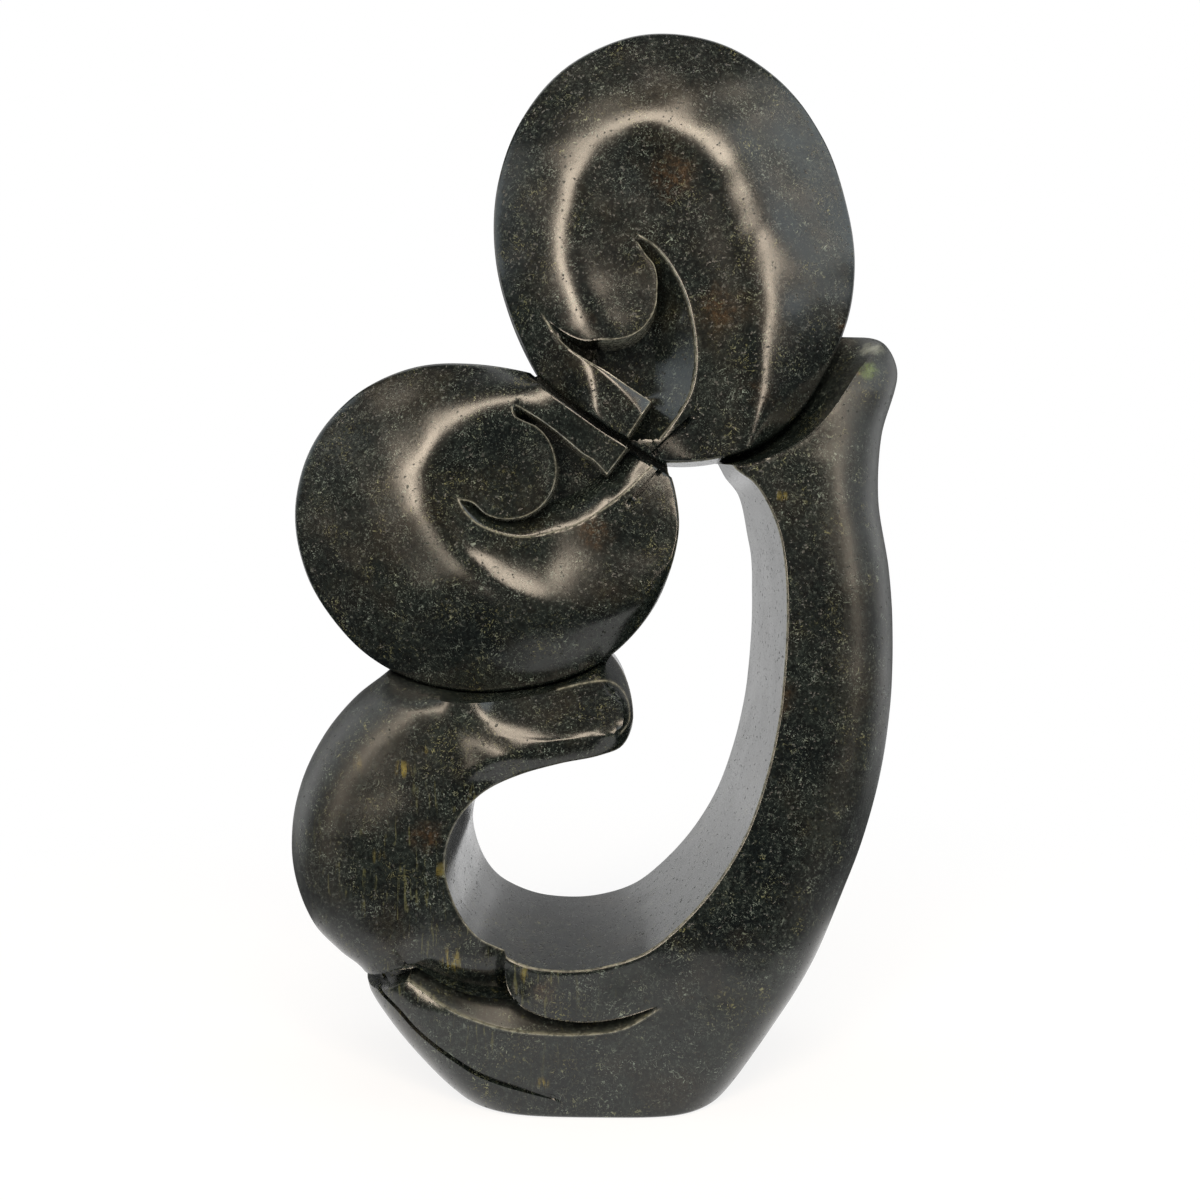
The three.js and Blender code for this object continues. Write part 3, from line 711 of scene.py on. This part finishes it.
def back(p, inset=None):
    """Depth y of the back surface."""
    inset = outline.inset(p) if inset is None else inset
    body = body_sides(p, inset)[1]
    body = body - FALL * np.maximum(hole.inset(p), 0)
    heads = np.full(len(p), NO_BACK)
    for head in (upper, lower):
        heads = np.maximum(heads, head.back(p) - FALL * np.maximum(-head.rim.inset(p), 0))
    both = smooth_max(np.maximum(body, NO_BACK), heads, BACK_BLEND)
    underside = rounding(p[:, 1], UNDERSIDE_ROUND) * clamp01(inset / UNDERSIDE_INSET)
    return both - underside + waviness(p + BACK_WAVE_SHIFT)


def crossings(first, second):
    """Where two loops cross."""
    a, b = first.segments()
    c, d = second.segments()
    found = []
    for i in range(len(a)):
        r = b[i] - a[i]
        s = d - c
        cross = r[0] * s[:, 1] - r[1] * s[:, 0]
        cross = np.where(np.abs(cross) < NOT_ZERO, NOT_ZERO, cross)
        ac = c - a[i]
        t = (ac[:, 0] * s[:, 1] - ac[:, 1] * s[:, 0]) / cross
        u = (ac[:, 0] * r[1] - ac[:, 1] * r[0]) / cross
        for k in np.nonzero((t >= 0) & (t < 1) & (u >= 0) & (u < 1))[0]:
            found.append(a[i] + t[k] * r)
    return found


def runs(points, keep):
    """The unbroken stretches of a loop's points that are kept, in the loop's direction."""
    count = len(points)
    start = next(i for i in range(count) if not keep[i])
    out, current = [], []
    for k in range(1, count + 1):
        i = (start + k) % count
        if keep[i]:
            current.append(points[i])
        elif current:
            out.append(np.array(current))
            current = []
    if current:
        out.append(np.array(current))
    return [stretch for stretch in out if len(stretch) > 3]


def stitch(stretches, joints):
    """A closed loop from stretches in order, with the nearest joint put between each and the next."""
    out = []
    for i, stretch in enumerate(stretches):
        following = stretches[(i + 1) % len(stretches)]
        ends = 0.5 * (stretch[-1] + following[0])
        joint = min(joints, key=lambda j: np.hypot(*(j - ends)))
        body = [q for q in stretch if min(np.hypot(*(q - j)) for j in joints) > JOINT_CLEARANCE]
        out += body + [joint]
    return np.array(out)


def build_boundaries():
    o, h, u, l = outline.points, hole.points, upper.rim.points, lower.rim.points
    ground = Line([(-200, 0), (200, 0)], rounded=False)
    feet = [np.array([q[0], 0.0]) for q in crossings(outline, ground)]
    joints = crossings(outline, upper.rim) + crossings(outline, lower.rim) + crossings(upper.rim, lower.rim)
    joints += feet
    keep_outline = ~upper.rim.inside(o) & ~lower.rim.inside(o) & (o[:, 1] > GROUND_CLEARANCE)
    keep_upper = ~outline.inside(u) & ~lower.rim.inside(u) & ~hole.inside(u)
    keep_lower = ~outline.inside(l) & ~upper.rim.inside(l) & ~hole.inside(l)
    sides = runs(o, keep_outline)
    right_side = max(sides, key=lambda s: s[:, 0].mean())
    left_side = min(sides, key=lambda s: s[:, 0].mean())
    feet.sort(key=lambda q: q[0])
    bottom_x = np.linspace(feet[0][0], feet[1][0], BOTTOM_POINTS)[1:-1]
    bottom = np.stack([bottom_x, np.zeros(len(bottom_x))], axis=1)
    rims = [max(runs(points, keep), key=len) for points, keep in ((u, keep_upper), (l, keep_lower))]
    outer = stitch([right_side, *rims, left_side, bottom], joints)
    inner_joints = crossings(hole, upper.rim) + crossings(hole, lower.rim) + crossings(upper.rim, lower.rim)
    edge = max(runs(h, ~upper.rim.inside(h) & ~lower.rim.inside(h)), key=len)
    chin = max(runs(u, hole.inside(u) & ~lower.rim.inside(u)), key=len)[::-1]
    cheek = max(runs(l, hole.inside(l) & ~upper.rim.inside(l)), key=len)[::-1]
    inner = stitch([edge, chin, cheek], inner_joints)
    return outer, inner


outer_loop, inner_loop = build_boundaries()


def in_stone(p):
    body = outline.inside(p) & ~hole.inside(p) & (p[:, 1] > 0)
    return body | upper.rim.inside(p) | lower.rim.inside(p)


class PointSet:
    """Points for the triangulation. One that falls on an earlier one is that point."""

    def __init__(self):
        self.cells = {}
        self.points = []
        self.edges = set()

    def add(self, point):
        cx = int(math.floor(point[0] / SAME_POINT))
        cz = int(math.floor(point[1] / SAME_POINT))
        for i in (cx - 1, cx, cx + 1):
            for j in (cz - 1, cz, cz + 1):
                if (i, j) in self.cells:
                    return self.cells[(i, j)]
        self.points.append((float(point[0]), float(point[1])))
        self.cells[(cx, cz)] = len(self.points) - 1
        return len(self.points) - 1

    def chain(self, points, keep, closed):
        previous, first = None, None
        for k, point in enumerate(points):
            if not keep[k]:
                previous = None
                continue
            index = self.add(point)
            if k == 0:
                first = index
            if previous is not None and previous != index:
                self.edges.add((previous, index))
            previous = index
        if closed and first is not None and previous is not None and keep[-1] and previous != first:
            self.edges.add((previous, first))


def triangulate(feature_chains, spacing):
    """Triangles over the whole stone, between the boundary loops and along the feature chains."""
    chosen = PointSet()
    loops = []
    for loop in (outer_loop, inner_loop):
        indices = [chosen.add(q) for q in loop]
        loops.append(indices)
        for i, j in zip(indices, indices[1:] + indices[:1]):
            chosen.edges.add((i, j))
    boundary = [region(loop) for loop in (outer_loop, inner_loop)]
    for points, keep, closed in feature_chains:
        ok = keep & in_stone(points)
        ok &= np.minimum(boundary[0].distance(points), boundary[1].distance(points)) > LOOP_CLEARANCE
        chosen.chain(points, ok, closed)
    fixed = kdtree.KDTree(len(chosen.points))
    for i, (x, z) in enumerate(chosen.points):
        fixed.insert((x, z, 0), i)
    fixed.balance()
    xs = np.arange(*GRID_SIDES, spacing)
    zs = np.arange(0.5 * spacing, GRID_TOP, spacing * math.sqrt(0.75))
    grid = np.array([(x + (0.5 * spacing if row % 2 else 0), z) for row, z in enumerate(zs) for x in xs])
    grid = grid[in_stone(grid)]
    for x, z in grid:
        if fixed.find((x, z, 0))[2] > GRID_CLEARANCE * spacing:
            chosen.points.append((float(x), float(z)))
    verts, _, faces, originals, _, _ = geometry.delaunay_2d_cdt(
        [Vector(q) for q in chosen.points], sorted(chosen.edges), [], 0, 1e-5
    )
    verts = np.array([(v.x, v.y) for v in verts])
    place = {}
    for k, sources in enumerate(originals):
        for i in sources:
            place[i] = k
            verts[k] = chosen.points[i]
    faces = np.array(faces)
    a, b, c = verts[faces[:, 0]], verts[faces[:, 1]], verts[faces[:, 2]]
    area = (b[:, 0] - a[:, 0]) * (c[:, 1] - a[:, 1]) - (b[:, 1] - a[:, 1]) * (c[:, 0] - a[:, 0])
    faces[area < 0] = faces[area < 0][:, ::-1]
    faces = faces[in_stone((a + b + c) / 3) & (np.abs(area) > TINY)]
    return verts, faces, [[place[i] for i in loop] for loop in loops]


def rounding_insets():
    angles = np.linspace(0, math.pi / 2, ROUNDING_STEPS + 1)[1:]
    return EDGE_ROUNDING * (1 - np.cos(angles) ** (2 / EDGE_EXPONENT))


def offsets(line, distances):
    return [(*line.moved(d), line.closed) for d in distances]


# Rows of points along the lines, at distances to their left, and along the underside at heights
UNDERSIDE_ROWS = (0.12, 0.45, 1.0, UNDERSIDE_ROUND)
UNDERSIDE_STEPS = (-60, 55, 1.3)
RIM_ROWS = (-WALL, 0, 0.12, 0.4, 0.8, RIM_ROUND, -GROOVE_REACH, -1.2)
CREST_ROWS = (0, 2, -2)
CUT_ROWS = (-BEVEL, -0.5 * BEVEL, 0, WALL, 0.5 * BEVEL, BEVEL)
GROOVE_ROWS = (-1, -0.55, 0, 0.55, 1)
RIDGE_ROWS = (0, 0.45, -0.45, 1, -1)
OPENING_ROWS = (-0.1, -0.35, -OPENING_ROUND, -2, -4, -6.5)
BACK_RIM_ROWS = (-WALL, 0, 0.3, 1, 2.2, 4, 7, 11)


def shared_chains():
    chains = offsets(outline, rounding_insets())
    for height in UNDERSIDE_ROWS:
        x = np.arange(*UNDERSIDE_STEPS)
        chains.append((np.stack([x, np.full(len(x), height)], axis=1), np.ones(len(x), bool), False))
    return chains


def front_chains():
    chains = shared_chains()
    for head in (upper, lower):
        chains += offsets(head.rim, RIM_ROWS) + offsets(head.crest, CREST_ROWS)
    chains += offsets(upper_cheek, [-UPPER_RAMP[0]]) + offsets(lower_cheek, [LOWER_RAMP[0]])
    for line in cut_lines:
        chains += offsets(line, CUT_ROWS)
    side = CONTACT_HALF
    chains += offsets(contact, [0, side - WALL, side, side + BEVEL, WALL - side, -side, -side - BEVEL])
    for line, shape in ((upper_mouth, MOUTH), (lower_mouth, MOUTH), (wrap_line, WRAP)):
        chains += offsets(line, [row * shape[0] for row in GROOVE_ROWS])
    for line in (upper_nose_ridge, hand_ridge, hand_line):
        chains += offsets(line, RIDGE_ROWS)
    return chains + offsets(hole, OPENING_ROWS)


def back_chains():
    chains = shared_chains()
    for head in (upper, lower):
        chains += offsets(head.rim, BACK_RIM_ROWS)
    return chains + offsets(hole, [0, WALL])


def painted_glint(p):
    """1 on the thin edges, painted paler than the polished stone as a highlight, 0 away from them."""
    away = Line(inner_loop, True, LOOP_STEP, rounded=False).distance(p)
    for line in glint_lines:
        away = np.minimum(away, line.distance(p))
    return np.exp(-((away / GLINT_WIDTH) ** 2))


def dull(p):
    """1 on the outer rounding of the limbs and on the strip, which are less polished, 0 on the rest."""
    on_body = (upper.rim.inset(p) < 0) & (lower.rim.inset(p) < 0)
    limbs = ramp(p[:, 1], DULL_ABOVE, DULL_REACH) * (1 - ramp(outline.inset(p), DULL_FROM, DULL_REACH))
    return np.where(on_body, np.maximum(limbs, smooth(strip.inset(p) / STRIP_EDGE)), 0.0)


def stone_mesh():
    """The whole carving: front, back, and the walls between them round the outside and the opening."""
    verts, faces = [], []
    rings = []
    values = {"painted_glint": [], "dull": []}
    for make_chains, spacing, depth, flip in (
        (front_chains, FRONT_SPACING, front, False),
        (back_chains, BACK_SPACING, back, True),
    ):
        flat, tris, loops = triangulate(make_chains(), spacing)
        y = depth(flat)
        start = len(verts)
        values["painted_glint"] += list(painted_glint(flat) if depth is front else np.zeros(len(flat)))
        values["dull"] += list(dull(flat))
        verts += [(q[0], d, q[1]) for q, d in zip(flat, y)]
        faces += [tuple(start + i for i in (t[::-1] if flip else t)) for t in tris]
        rings.append([[start + i for i in loop] for loop in loops])
    for k, rows in ((0, BAND_ROWS), (1, WALL_ROWS)):
        near, far = rings[0][k], rings[1][k]
        grid = [near]
        for share in [EDGE_ROW] + [row / rows for row in range(1, rows)]:
            line = []
            for i, j in zip(near, far):
                a, b = verts[i], verts[j]
                line.append(len(verts))
                verts.append((a[0], lerp(a[1], b[1], share), a[2]))
            grid.append(line)
        grid.append(far)
        count = len(near)
        for first, second in zip(grid, grid[1:]):
            for i in range(count):
                j = (i + 1) % count
                quad = (first[i], second[i], second[j], first[j])
                faces.append(quad if k == 0 else quad[::-1])
    mesh = bpy.data.meshes.new("couple")
    mesh.from_pydata([tuple(c * MM for c in v) for v in verts], [], faces)
    for name, column in values.items():
        layer = mesh.attributes.new(name, "FLOAT", "POINT")
        layer.data.foreach_set("value", column + [0.0] * (len(verts) - len(column)))
    return mesh


def finish_mesh(mesh):
    bm = bmesh.new()
    bm.from_mesh(mesh)
    bmesh.ops.remove_doubles(bm, verts=bm.verts, dist=MERGE_DISTANCE)
    bmesh.ops.dissolve_degenerate(bm, dist=SMALLEST_EDGE, edges=bm.edges)
    bmesh.ops.triangulate(bm, faces=[f for f in bm.faces if len(f.verts) > 4])
    bmesh.ops.holes_fill(bm, edges=[e for e in bm.edges if len(e.link_faces) == 1], sides=6)
    bm.to_mesh(mesh)
    bm.free()
    mesh.polygons.foreach_set("use_smooth", [True] * len(mesh.polygons))
    mesh.set_sharp_from_angle(angle=SHARP_ANGLE)
    mesh.validate()
    mesh.update()


mesh = stone_mesh()
finish_mesh(mesh)
couple = bpy.data.objects.new("couple", mesh)
bpy.context.scene.collection.objects.link(couple)
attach(couple, "root")
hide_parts("stone_couple")


class Nodes:
    """Short ways to add shader nodes. A socket is linked, any other value is set on the input itself."""

    def __init__(self, name):
        self.material = bpy.data.materials.new(name)
        self.material.use_nodes = True
        self.tree = self.material.node_tree
        self.shader = self.tree.nodes["Principled BSDF"]

    def put(self, target, value):
        if isinstance(value, bpy.types.NodeSocket):
            self.tree.links.new(value, target)
        else:
            target.default_value = value

    def add(self, kind, inputs=None, **settings):
        node = self.tree.nodes.new("ShaderNode" + kind)
        for key, value in settings.items():
            setattr(node, key, value)
        for key, value in (inputs or {}).items():
            self.put(node.inputs[key], value)
        return node

    def math(self, operation, a, b=0.0, c=0.0):
        return self.add("Math", {0: a, 1: b, 2: c}, operation=operation).outputs[0]

    def times(self, a, b, plus=None):
        return self.math("MULTIPLY", a, b) if plus is None else self.math("MULTIPLY_ADD", a, b, plus)

    def vector(self, operation, a, b=(0, 0, 0)):
        node = self.add("VectorMath", {0: a, 1: b}, operation=operation)
        return node.outputs["Value" if operation == "DISTANCE" else "Vector"]

    def scaled(self, place, scale):
        return self.add("Mapping", {"Vector": place, "Scale": scale}).outputs[0]

    def noise(self, place, scale, detail=3.0, roughness=0.55, distortion=0.0):
        inputs = {"Vector": place, "Scale": scale, "Detail": detail, "Roughness": roughness}
        return self.add("TexNoise", inputs | {"Distortion": distortion}).outputs["Fac"]

    def band(self, value, low, high, start=0.0, end=1.0):
        node = self.add(
            "MapRange", {"Value": value, "From Min": low, "From Max": high, "To Min": start, "To Max": end},
            interpolation_type="SMOOTHSTEP",
        )
        return node.outputs["Result"]

    def mix(self, share, a, b):
        node = self.add("Mix", {0: share}, data_type="RGBA")
        self.put(node.inputs[6], a)
        self.put(node.inputs[7], b)
        return node.outputs[2]

    def blob(self, place, centre, reach, edge):
        """1 near a place in millimetres, 0 beyond its reach, with the edge broken up by a noise."""
        away = self.vector("DISTANCE", place, centre)
        ragged = self.times(edge, reach * 0.9, away)
        return self.band(ragged, reach * 1.15, reach * 0.45)


def colour(r, g, b):
    return (r, g, b, 1)


# Colours of the stone, with the painted reflection and highlights among them
GROUND_DARK = colour(0.0020, 0.0038, 0.0041)
GROUND_LIGHT = colour(0.0068, 0.0100, 0.0090)
GROUND_WARM = colour(0.0100, 0.0092, 0.0062)
# painted reflection: a bluish sheen where the slopes would mirror cool light
PAINTED_SHEEN = colour(0.015, 0.021, 0.022)
MOTTLE_DARK = colour(0.0012, 0.0018, 0.0017)
MOTTLE_LIGHT = colour(0.0195, 0.027, 0.0235)
RUST = colour(0.040, 0.021, 0.0075)
YELLOW = colour(0.155, 0.125, 0.022)
OLIVE = colour(0.085, 0.088, 0.036)
GREEN = colour(0.16, 0.25, 0.035)
BRIGHT_RUST = colour(0.24, 0.10, 0.015)
GRAIN_LIGHT = colour(0.036, 0.045, 0.040)
GRAIN_DARK = colour(0.0008, 0.0011, 0.0011)
FLECK_GREY = colour(0.125, 0.155, 0.135)
FLECK_OLIVE = colour(0.135, 0.135, 0.060)
# painted highlight on thin edges and the rims by the opening
PAINTED_GLINT_PALE = colour(0.25, 0.25, 0.20)
# painted highlight: pale top of the arm's tip
TIP_HIGHLIGHT_PALE = colour(0.30, 0.33, 0.28)

# Where they lie: (x, y, z, reach), millimetres
RUST_PLACES = [
    (45, -27, 293, 17), (-4, -24, 289, 9), (-3, -24, 210, 15), (12.5, -23, 259, 7), (93, -18, 289, 6),
    (62, -40, 150, 16), (-62, -38, 100, 12), (-20, -42, 45, 11), (28, -26, 343, 17), (60, -22, 262, 12),
]
YELLOW_PLACES = [
    (-71, -38, 123, 4.5), (-63.5, -37, 130, 2.6), (-80, -37, 93, 5), (-58, -38, 87, 5), (-54, -38, 54, 6),
    (-43.5, -42, 29, 3.5), (-20, -44, 12.5, 3.5), (-27, -46, 52, 4), (66, -38, 222, 3), (-88, -34, 124, 7),
]
GREEN_TIP = (101, -31, 271.5)
RUST_TIP = (95.5, -31, 270)
LOW_LEFT = (-52, -40, 70)
# place of the painted highlight on the arm's tip
PAINTED_TIP_HIGHLIGHT = (103, -20, 282)
# Places of the painted bluish reflection on the heads' outer slopes and the left shoulder
PAINTED_SHEEN_PLACES = [
    (78, -20, 350, 24), (88, -18, 320, 16), (-98, -22, 245, 22), (-85, -30, 140, 18), (10, -25, 340, 14)
]


def serpentine():
    n = Nodes("serpentine")
    metres = n.add("TexCoord").outputs["Object"]
    place = n.vector("MULTIPLY", metres, (1000, 1000, 1000))
    ragged = n.noise(place, 0.16, 4, 0.6)
    # ground colour in slow clouds, then mottling a few millimetres wide, then grain
    clouds = n.noise(place, 0.028, 4, 0.6, 0.4)
    ground = n.mix(n.band(clouds, 0.36, 0.66), GROUND_DARK, GROUND_LIGHT)
    warm = n.noise(n.vector("ADD", place, (310, 40, 90)), 0.035, 3, 0.6)
    ground = n.mix(n.band(warm, 0.5, 0.72), ground, GROUND_WARM)
    # painted reflection: bluish sheen laid into the base colour on those slopes
    for x, y, z, reach in PAINTED_SHEEN_PLACES:
        mask = n.times(n.blob(place, (x, y, z), reach, ragged), 0.55)
        ground = n.mix(mask, ground, PAINTED_SHEEN)
    mottle = n.noise(place, 0.33, 6, 0.68, 0.3)
    ground = n.mix(n.band(mottle, 0.34, 0.54, 0.85, 0.0), ground, MOTTLE_DARK)
    ground = n.mix(n.band(mottle, 0.52, 0.74, 0.0, 0.6), ground, MOTTLE_LIGHT)
    # rust and yellow patches
    rusty = n.band(mottle, 0.4, 0.62, 0.15, 0.85)
    for x, y, z, reach in RUST_PLACES:
        mask = n.times(n.blob(place, (x, y, z), reach, ragged), rusty)
        ground = n.mix(mask, ground, RUST)
    streaks = n.noise(n.scaled(place, (0.55, 0.3, 0.075)), 1.0, 4, 0.6, 0.5)
    for x, y, z, reach in YELLOW_PLACES:
        mask = n.times(n.blob(place, (x, y, z), reach * 1.3, ragged), n.band(streaks, 0.46, 0.6))
        ground = n.mix(mask, ground, YELLOW)
    beside = n.band(n.vector("DISTANCE", place, LOW_LEFT), 75, 35)
    low_left = n.times(beside, n.band(streaks, 0.585, 0.68, 0.0, 0.5))
    ground = n.mix(low_left, ground, OLIVE)
    green = n.blob(place, GREEN_TIP, 9.5, ragged)
    ground = n.mix(n.times(green, 0.9), ground, GREEN)
    edge_rust = n.blob(place, RUST_TIP, 4.2, ragged)
    ground = n.mix(n.times(edge_rust, 0.85), ground, BRIGHT_RUST)
    # grain and fine pale specks
    grain = n.noise(place, 0.8, 4, 0.75)
    ground = n.mix(n.band(grain, 0.55, 0.68, 0.0, 0.75), ground, GRAIN_LIGHT)
    ground = n.mix(n.band(grain, 0.36, 0.5, 0.85, 0.0), ground, GRAIN_DARK)
    # hair-like flecks: short stretches of the lines along which a noise passes its middle value
    patchy = n.noise(n.vector("ADD", place, (70, 10, 200)), 0.09, 3, 0.6)
    flecks = None
    for scale, width, shift in ((0.42, 0.022, 0), (0.7, 0.03, 37), (0.26, 0.014, 83)):
        moved = n.vector("ADD", place, (shift, 0.6 * shift, -1.3 * shift))
        off_line = n.math("ABSOLUTE", n.math("SUBTRACT", n.noise(moved, scale, 1.5, 0.5, 0.6), 0.5))
        pieces = n.noise(n.vector("ADD", moved, (19, 7, 31)), scale * 1.9, 1, 0.5)
        mask = n.times(n.band(off_line, width, width * 0.4), n.band(pieces, 0.54, 0.62))
        flecks = mask if flecks is None else n.math("MAXIMUM", flecks, mask)
    flecks = n.times(flecks, n.band(patchy, 0.4, 0.62, 0.12, 1.0))
    strength = n.band(n.noise(n.vector("ADD", place, (5, 90, 44)), 0.3, 2, 0.5), 0.36, 0.66, 0.25, 1.0)
    tint = n.band(n.noise(n.vector("ADD", place, (140, 3, 8)), 0.06, 3, 0.6), 0.44, 0.64)
    pale = n.mix(tint, FLECK_GREY, FLECK_OLIVE)
    ground = n.mix(n.times(flecks, strength), ground, pale)
    # painted highlight: pale thin edges and rims
    edge = n.add("Attribute", attribute_name="painted_glint").outputs["Fac"]
    edge = n.times(edge, n.band(n.noise(place, 0.5, 2, 0.6), 0.35, 0.6, 0.25, 0.8))
    ground = n.mix(edge, ground, PAINTED_GLINT_PALE)
    # painted highlight: the top of the arm's tip made pale where light catches it
    tip = n.blob(place, PAINTED_TIP_HIGHLIGHT, 9, ragged)
    ground = n.mix(n.times(tip, 0.6), ground, TIP_HIGHLIGHT_PALE)
    n.put(n.shader.inputs["Base Color"], ground)
    # polish: glossy ground, duller grain, tiny pits
    polish = n.noise(place, 0.05, 3, 0.6)
    rough = n.band(polish, 0.3, 0.7, 0.17, 0.225)
    rough = n.times(flecks, 0.06, rough)
    rough = n.times(n.band(grain, 0.46, 0.66), 0.06, rough)
    dulled = n.add("Attribute", attribute_name="dull").outputs["Fac"]
    rough = n.times(dulled, DULL_ROUGHNESS, rough)
    n.shader.inputs["IOR"].default_value = STONE_IOR
    pits = n.add("TexVoronoi", {"Vector": place, "Scale": 0.75, "Randomness": 1.0}).outputs["Distance"]
    pit_size = n.times(n.band(n.noise(place, 0.4, 2), 0.45, 0.72), 0.42)
    pit = n.band(n.math("SUBTRACT", pits, pit_size), 0.05, -0.12)
    rough = n.times(pit, 0.3, rough)
    n.put(n.shader.inputs["Roughness"], rough)
    height = n.times(pit, -1.4, n.times(grain, 0.25))
    height = n.times(mottle, 0.25, height)
    bump = n.add("Bump", {"Height": height, "Distance": BUMP_DISTANCE, "Strength": 0.7})
    n.put(n.shader.inputs["Normal"], bump.outputs[0])
    return n.material


mesh.materials.append(serpentine())

# Floor, camera and light
CENTRE_RADIUS = 0.0001
NEAR_RADIUS = 0.2
FAR_RADIUS = 8.0
FLOOR_SIDES = 96
CAMERA_PLACE = (0, -0.4, 0.1845)
CAMERA_LENS = 30
CAMERA_SENSOR = 36


def pale_ring(name, inner, outer, material):
    turns = [2 * math.pi * k / FLOOR_SIDES for k in range(FLOOR_SIDES)]
    points = [(radius * math.cos(t), radius * math.sin(t), 0) for radius in (inner, outer) for t in turns]
    rings = []
    for k in range(FLOOR_SIDES):
        after = (k + 1) % FLOOR_SIDES
        rings.append((k, after, FLOOR_SIDES + after, FLOOR_SIDES + k))
    ring_mesh = bpy.data.meshes.new(name)
    ring_mesh.from_pydata(points, [], rings)
    ring_mesh.materials.append(material)
    ring = bpy.data.objects.new(name, ring_mesh)
    bpy.context.scene.collection.objects.link(ring)
    return ring


def pale_floor():
    """White near the carving, with its soft shadow, fading into the pale room further out."""
    n = Nodes("pale_floor")
    n.shader.inputs["Base Color"].default_value = colour(0.93, 0.93, 0.93)
    n.shader.inputs["Roughness"].default_value = 0.7
    place = n.add("TexCoord").outputs["Object"]
    far = n.band(n.vector("DISTANCE", place, (0, 0, 0)), 0.15, 0.6, 0.8, 1.0)
    glow = n.add("Emission", {"Color": colour(1, 1, 1), "Strength": 1.0})
    mixed = n.add("MixShader", {0: far, 1: n.shader.outputs[0], 2: glow.outputs[0]})
    n.tree.links.new(mixed.outputs[0], n.tree.nodes["Material Output"].inputs["Surface"])
    return n.material


floor_finish = pale_floor()
pale_ring("floor_near", CENTRE_RADIUS, NEAR_RADIUS, floor_finish)
floor_far = pale_ring("floor_far", NEAR_RADIUS, FAR_RADIUS, floor_finish)
floor_far.visible_glossy = False

camera_data = bpy.data.cameras.new("camera")
camera_data.sensor_width = CAMERA_SENSOR
camera_data.lens = CAMERA_LENS
camera = bpy.data.objects.new("camera", camera_data)
camera.location = CAMERA_PLACE
camera.rotation_euler = (math.pi / 2, 0, 0)
camera_data.clip_start = 0.01
bpy.context.scene.collection.objects.link(camera)
bpy.context.scene.camera = camera


def area_light(name, place, target, size, power, colour=(1, 1, 1)):
    data = bpy.data.lights.new(name, "AREA")
    data.shape = "RECTANGLE"
    data.size, data.size_y = size
    data.energy = power
    data.color = colour
    light = bpy.data.objects.new(name, data)
    light.location = place
    direction = Vector(target) - Vector(place)
    light.rotation_euler = direction.to_track_quat("-Z", "Y").to_euler()
    light.visible_camera = False
    bpy.context.scene.collection.objects.link(light)
    return light


WARM = (1, 0.84, 0.66)
COOL = (0.86, 0.95, 1)
area_light("warm_top", (0.0, -1.1, 1.35), (0, 0, 0.25), (0.7, 0.36), 10, WARM)
area_light("warm_left", (-0.56, -1.1, 0.54), (0, 0, 0.25), (0.2, 0.62), 7.3, WARM)
area_light("warm_right", (0.72, -1.05, 0.57), (0, 0, 0.28), (0.13, 0.64), 4.6, WARM)
area_light("warm_upper_left", (-0.5, -1.12, 1.1), (0, 0, 0.28), (0.36, 0.4), 6, WARM)
area_light("warm_upper_right", (0.48, -1.12, 1.16), (0, 0, 0.28), (0.34, 0.36), 6, WARM)
area_light("warm_low_left", (-0.43, -1.03, 0.12), (-0.05, 0, 0.2), (0.13, 0.2), 0.55, WARM)
area_light("right_window", (1.0, -0.5, 1.0), (0, 0, 0.28), (0.9, 0.9), 5, COOL)
area_light("left_sky", (-1.2, -0.5, 0.9), (0, 0, 0.2), (0.7, 0.9), 3, COOL)
area_light("left_panel", (-1.1, 0.3, 0.4), (0, 0, 0.2), (0.8, 1.2), 5)
area_light("right_panel", (1.1, 0.35, 0.4), (0, 0, 0.2), (0.8, 1.2), 5)
area_light("top_panel", (0, 0.3, 1.4), (0, 0.1, 0.2), (1.6, 1.0), 6.5)
area_light("back_panel", (0.3, 1.3, 0.75), (0, 0, 0.2), (1.4, 1.0), 1.1)
area_light("back_floor", (0.1, 0.75, 0.004), (0.1, 0.75, 1.0), (1.4, 0.7), 4.0)
area_light("back_low", (-0.15, 0.9, 0.13), (0, 0, 0.13), (1.0, 0.26), 0.7)

world = bpy.data.worlds.new("studio")
bpy.context.scene.world = world
world.use_nodes = True
nodes, links = world.node_tree.nodes, world.node_tree.links
background = nodes["Background"]
background.inputs["Color"].default_value = (0.98, 0.99, 1, 1)
background.inputs["Strength"].default_value = 0.06
shown = nodes.new("ShaderNodeBackground")
shown.inputs["Color"].default_value = (1, 1, 1, 1)
shown.inputs["Strength"].default_value = 1.0
path = nodes.new("ShaderNodeLightPath")
mix = nodes.new("ShaderNodeMixShader")
links.new(path.outputs["Is Camera Ray"], mix.inputs[0])
links.new(background.outputs[0], mix.inputs[1])
links.new(shown.outputs[0], mix.inputs[2])
links.new(mix.outputs[0], nodes["World Output"].inputs["Surface"])
bpy.context.scene.view_settings.view_transform = "Standard"
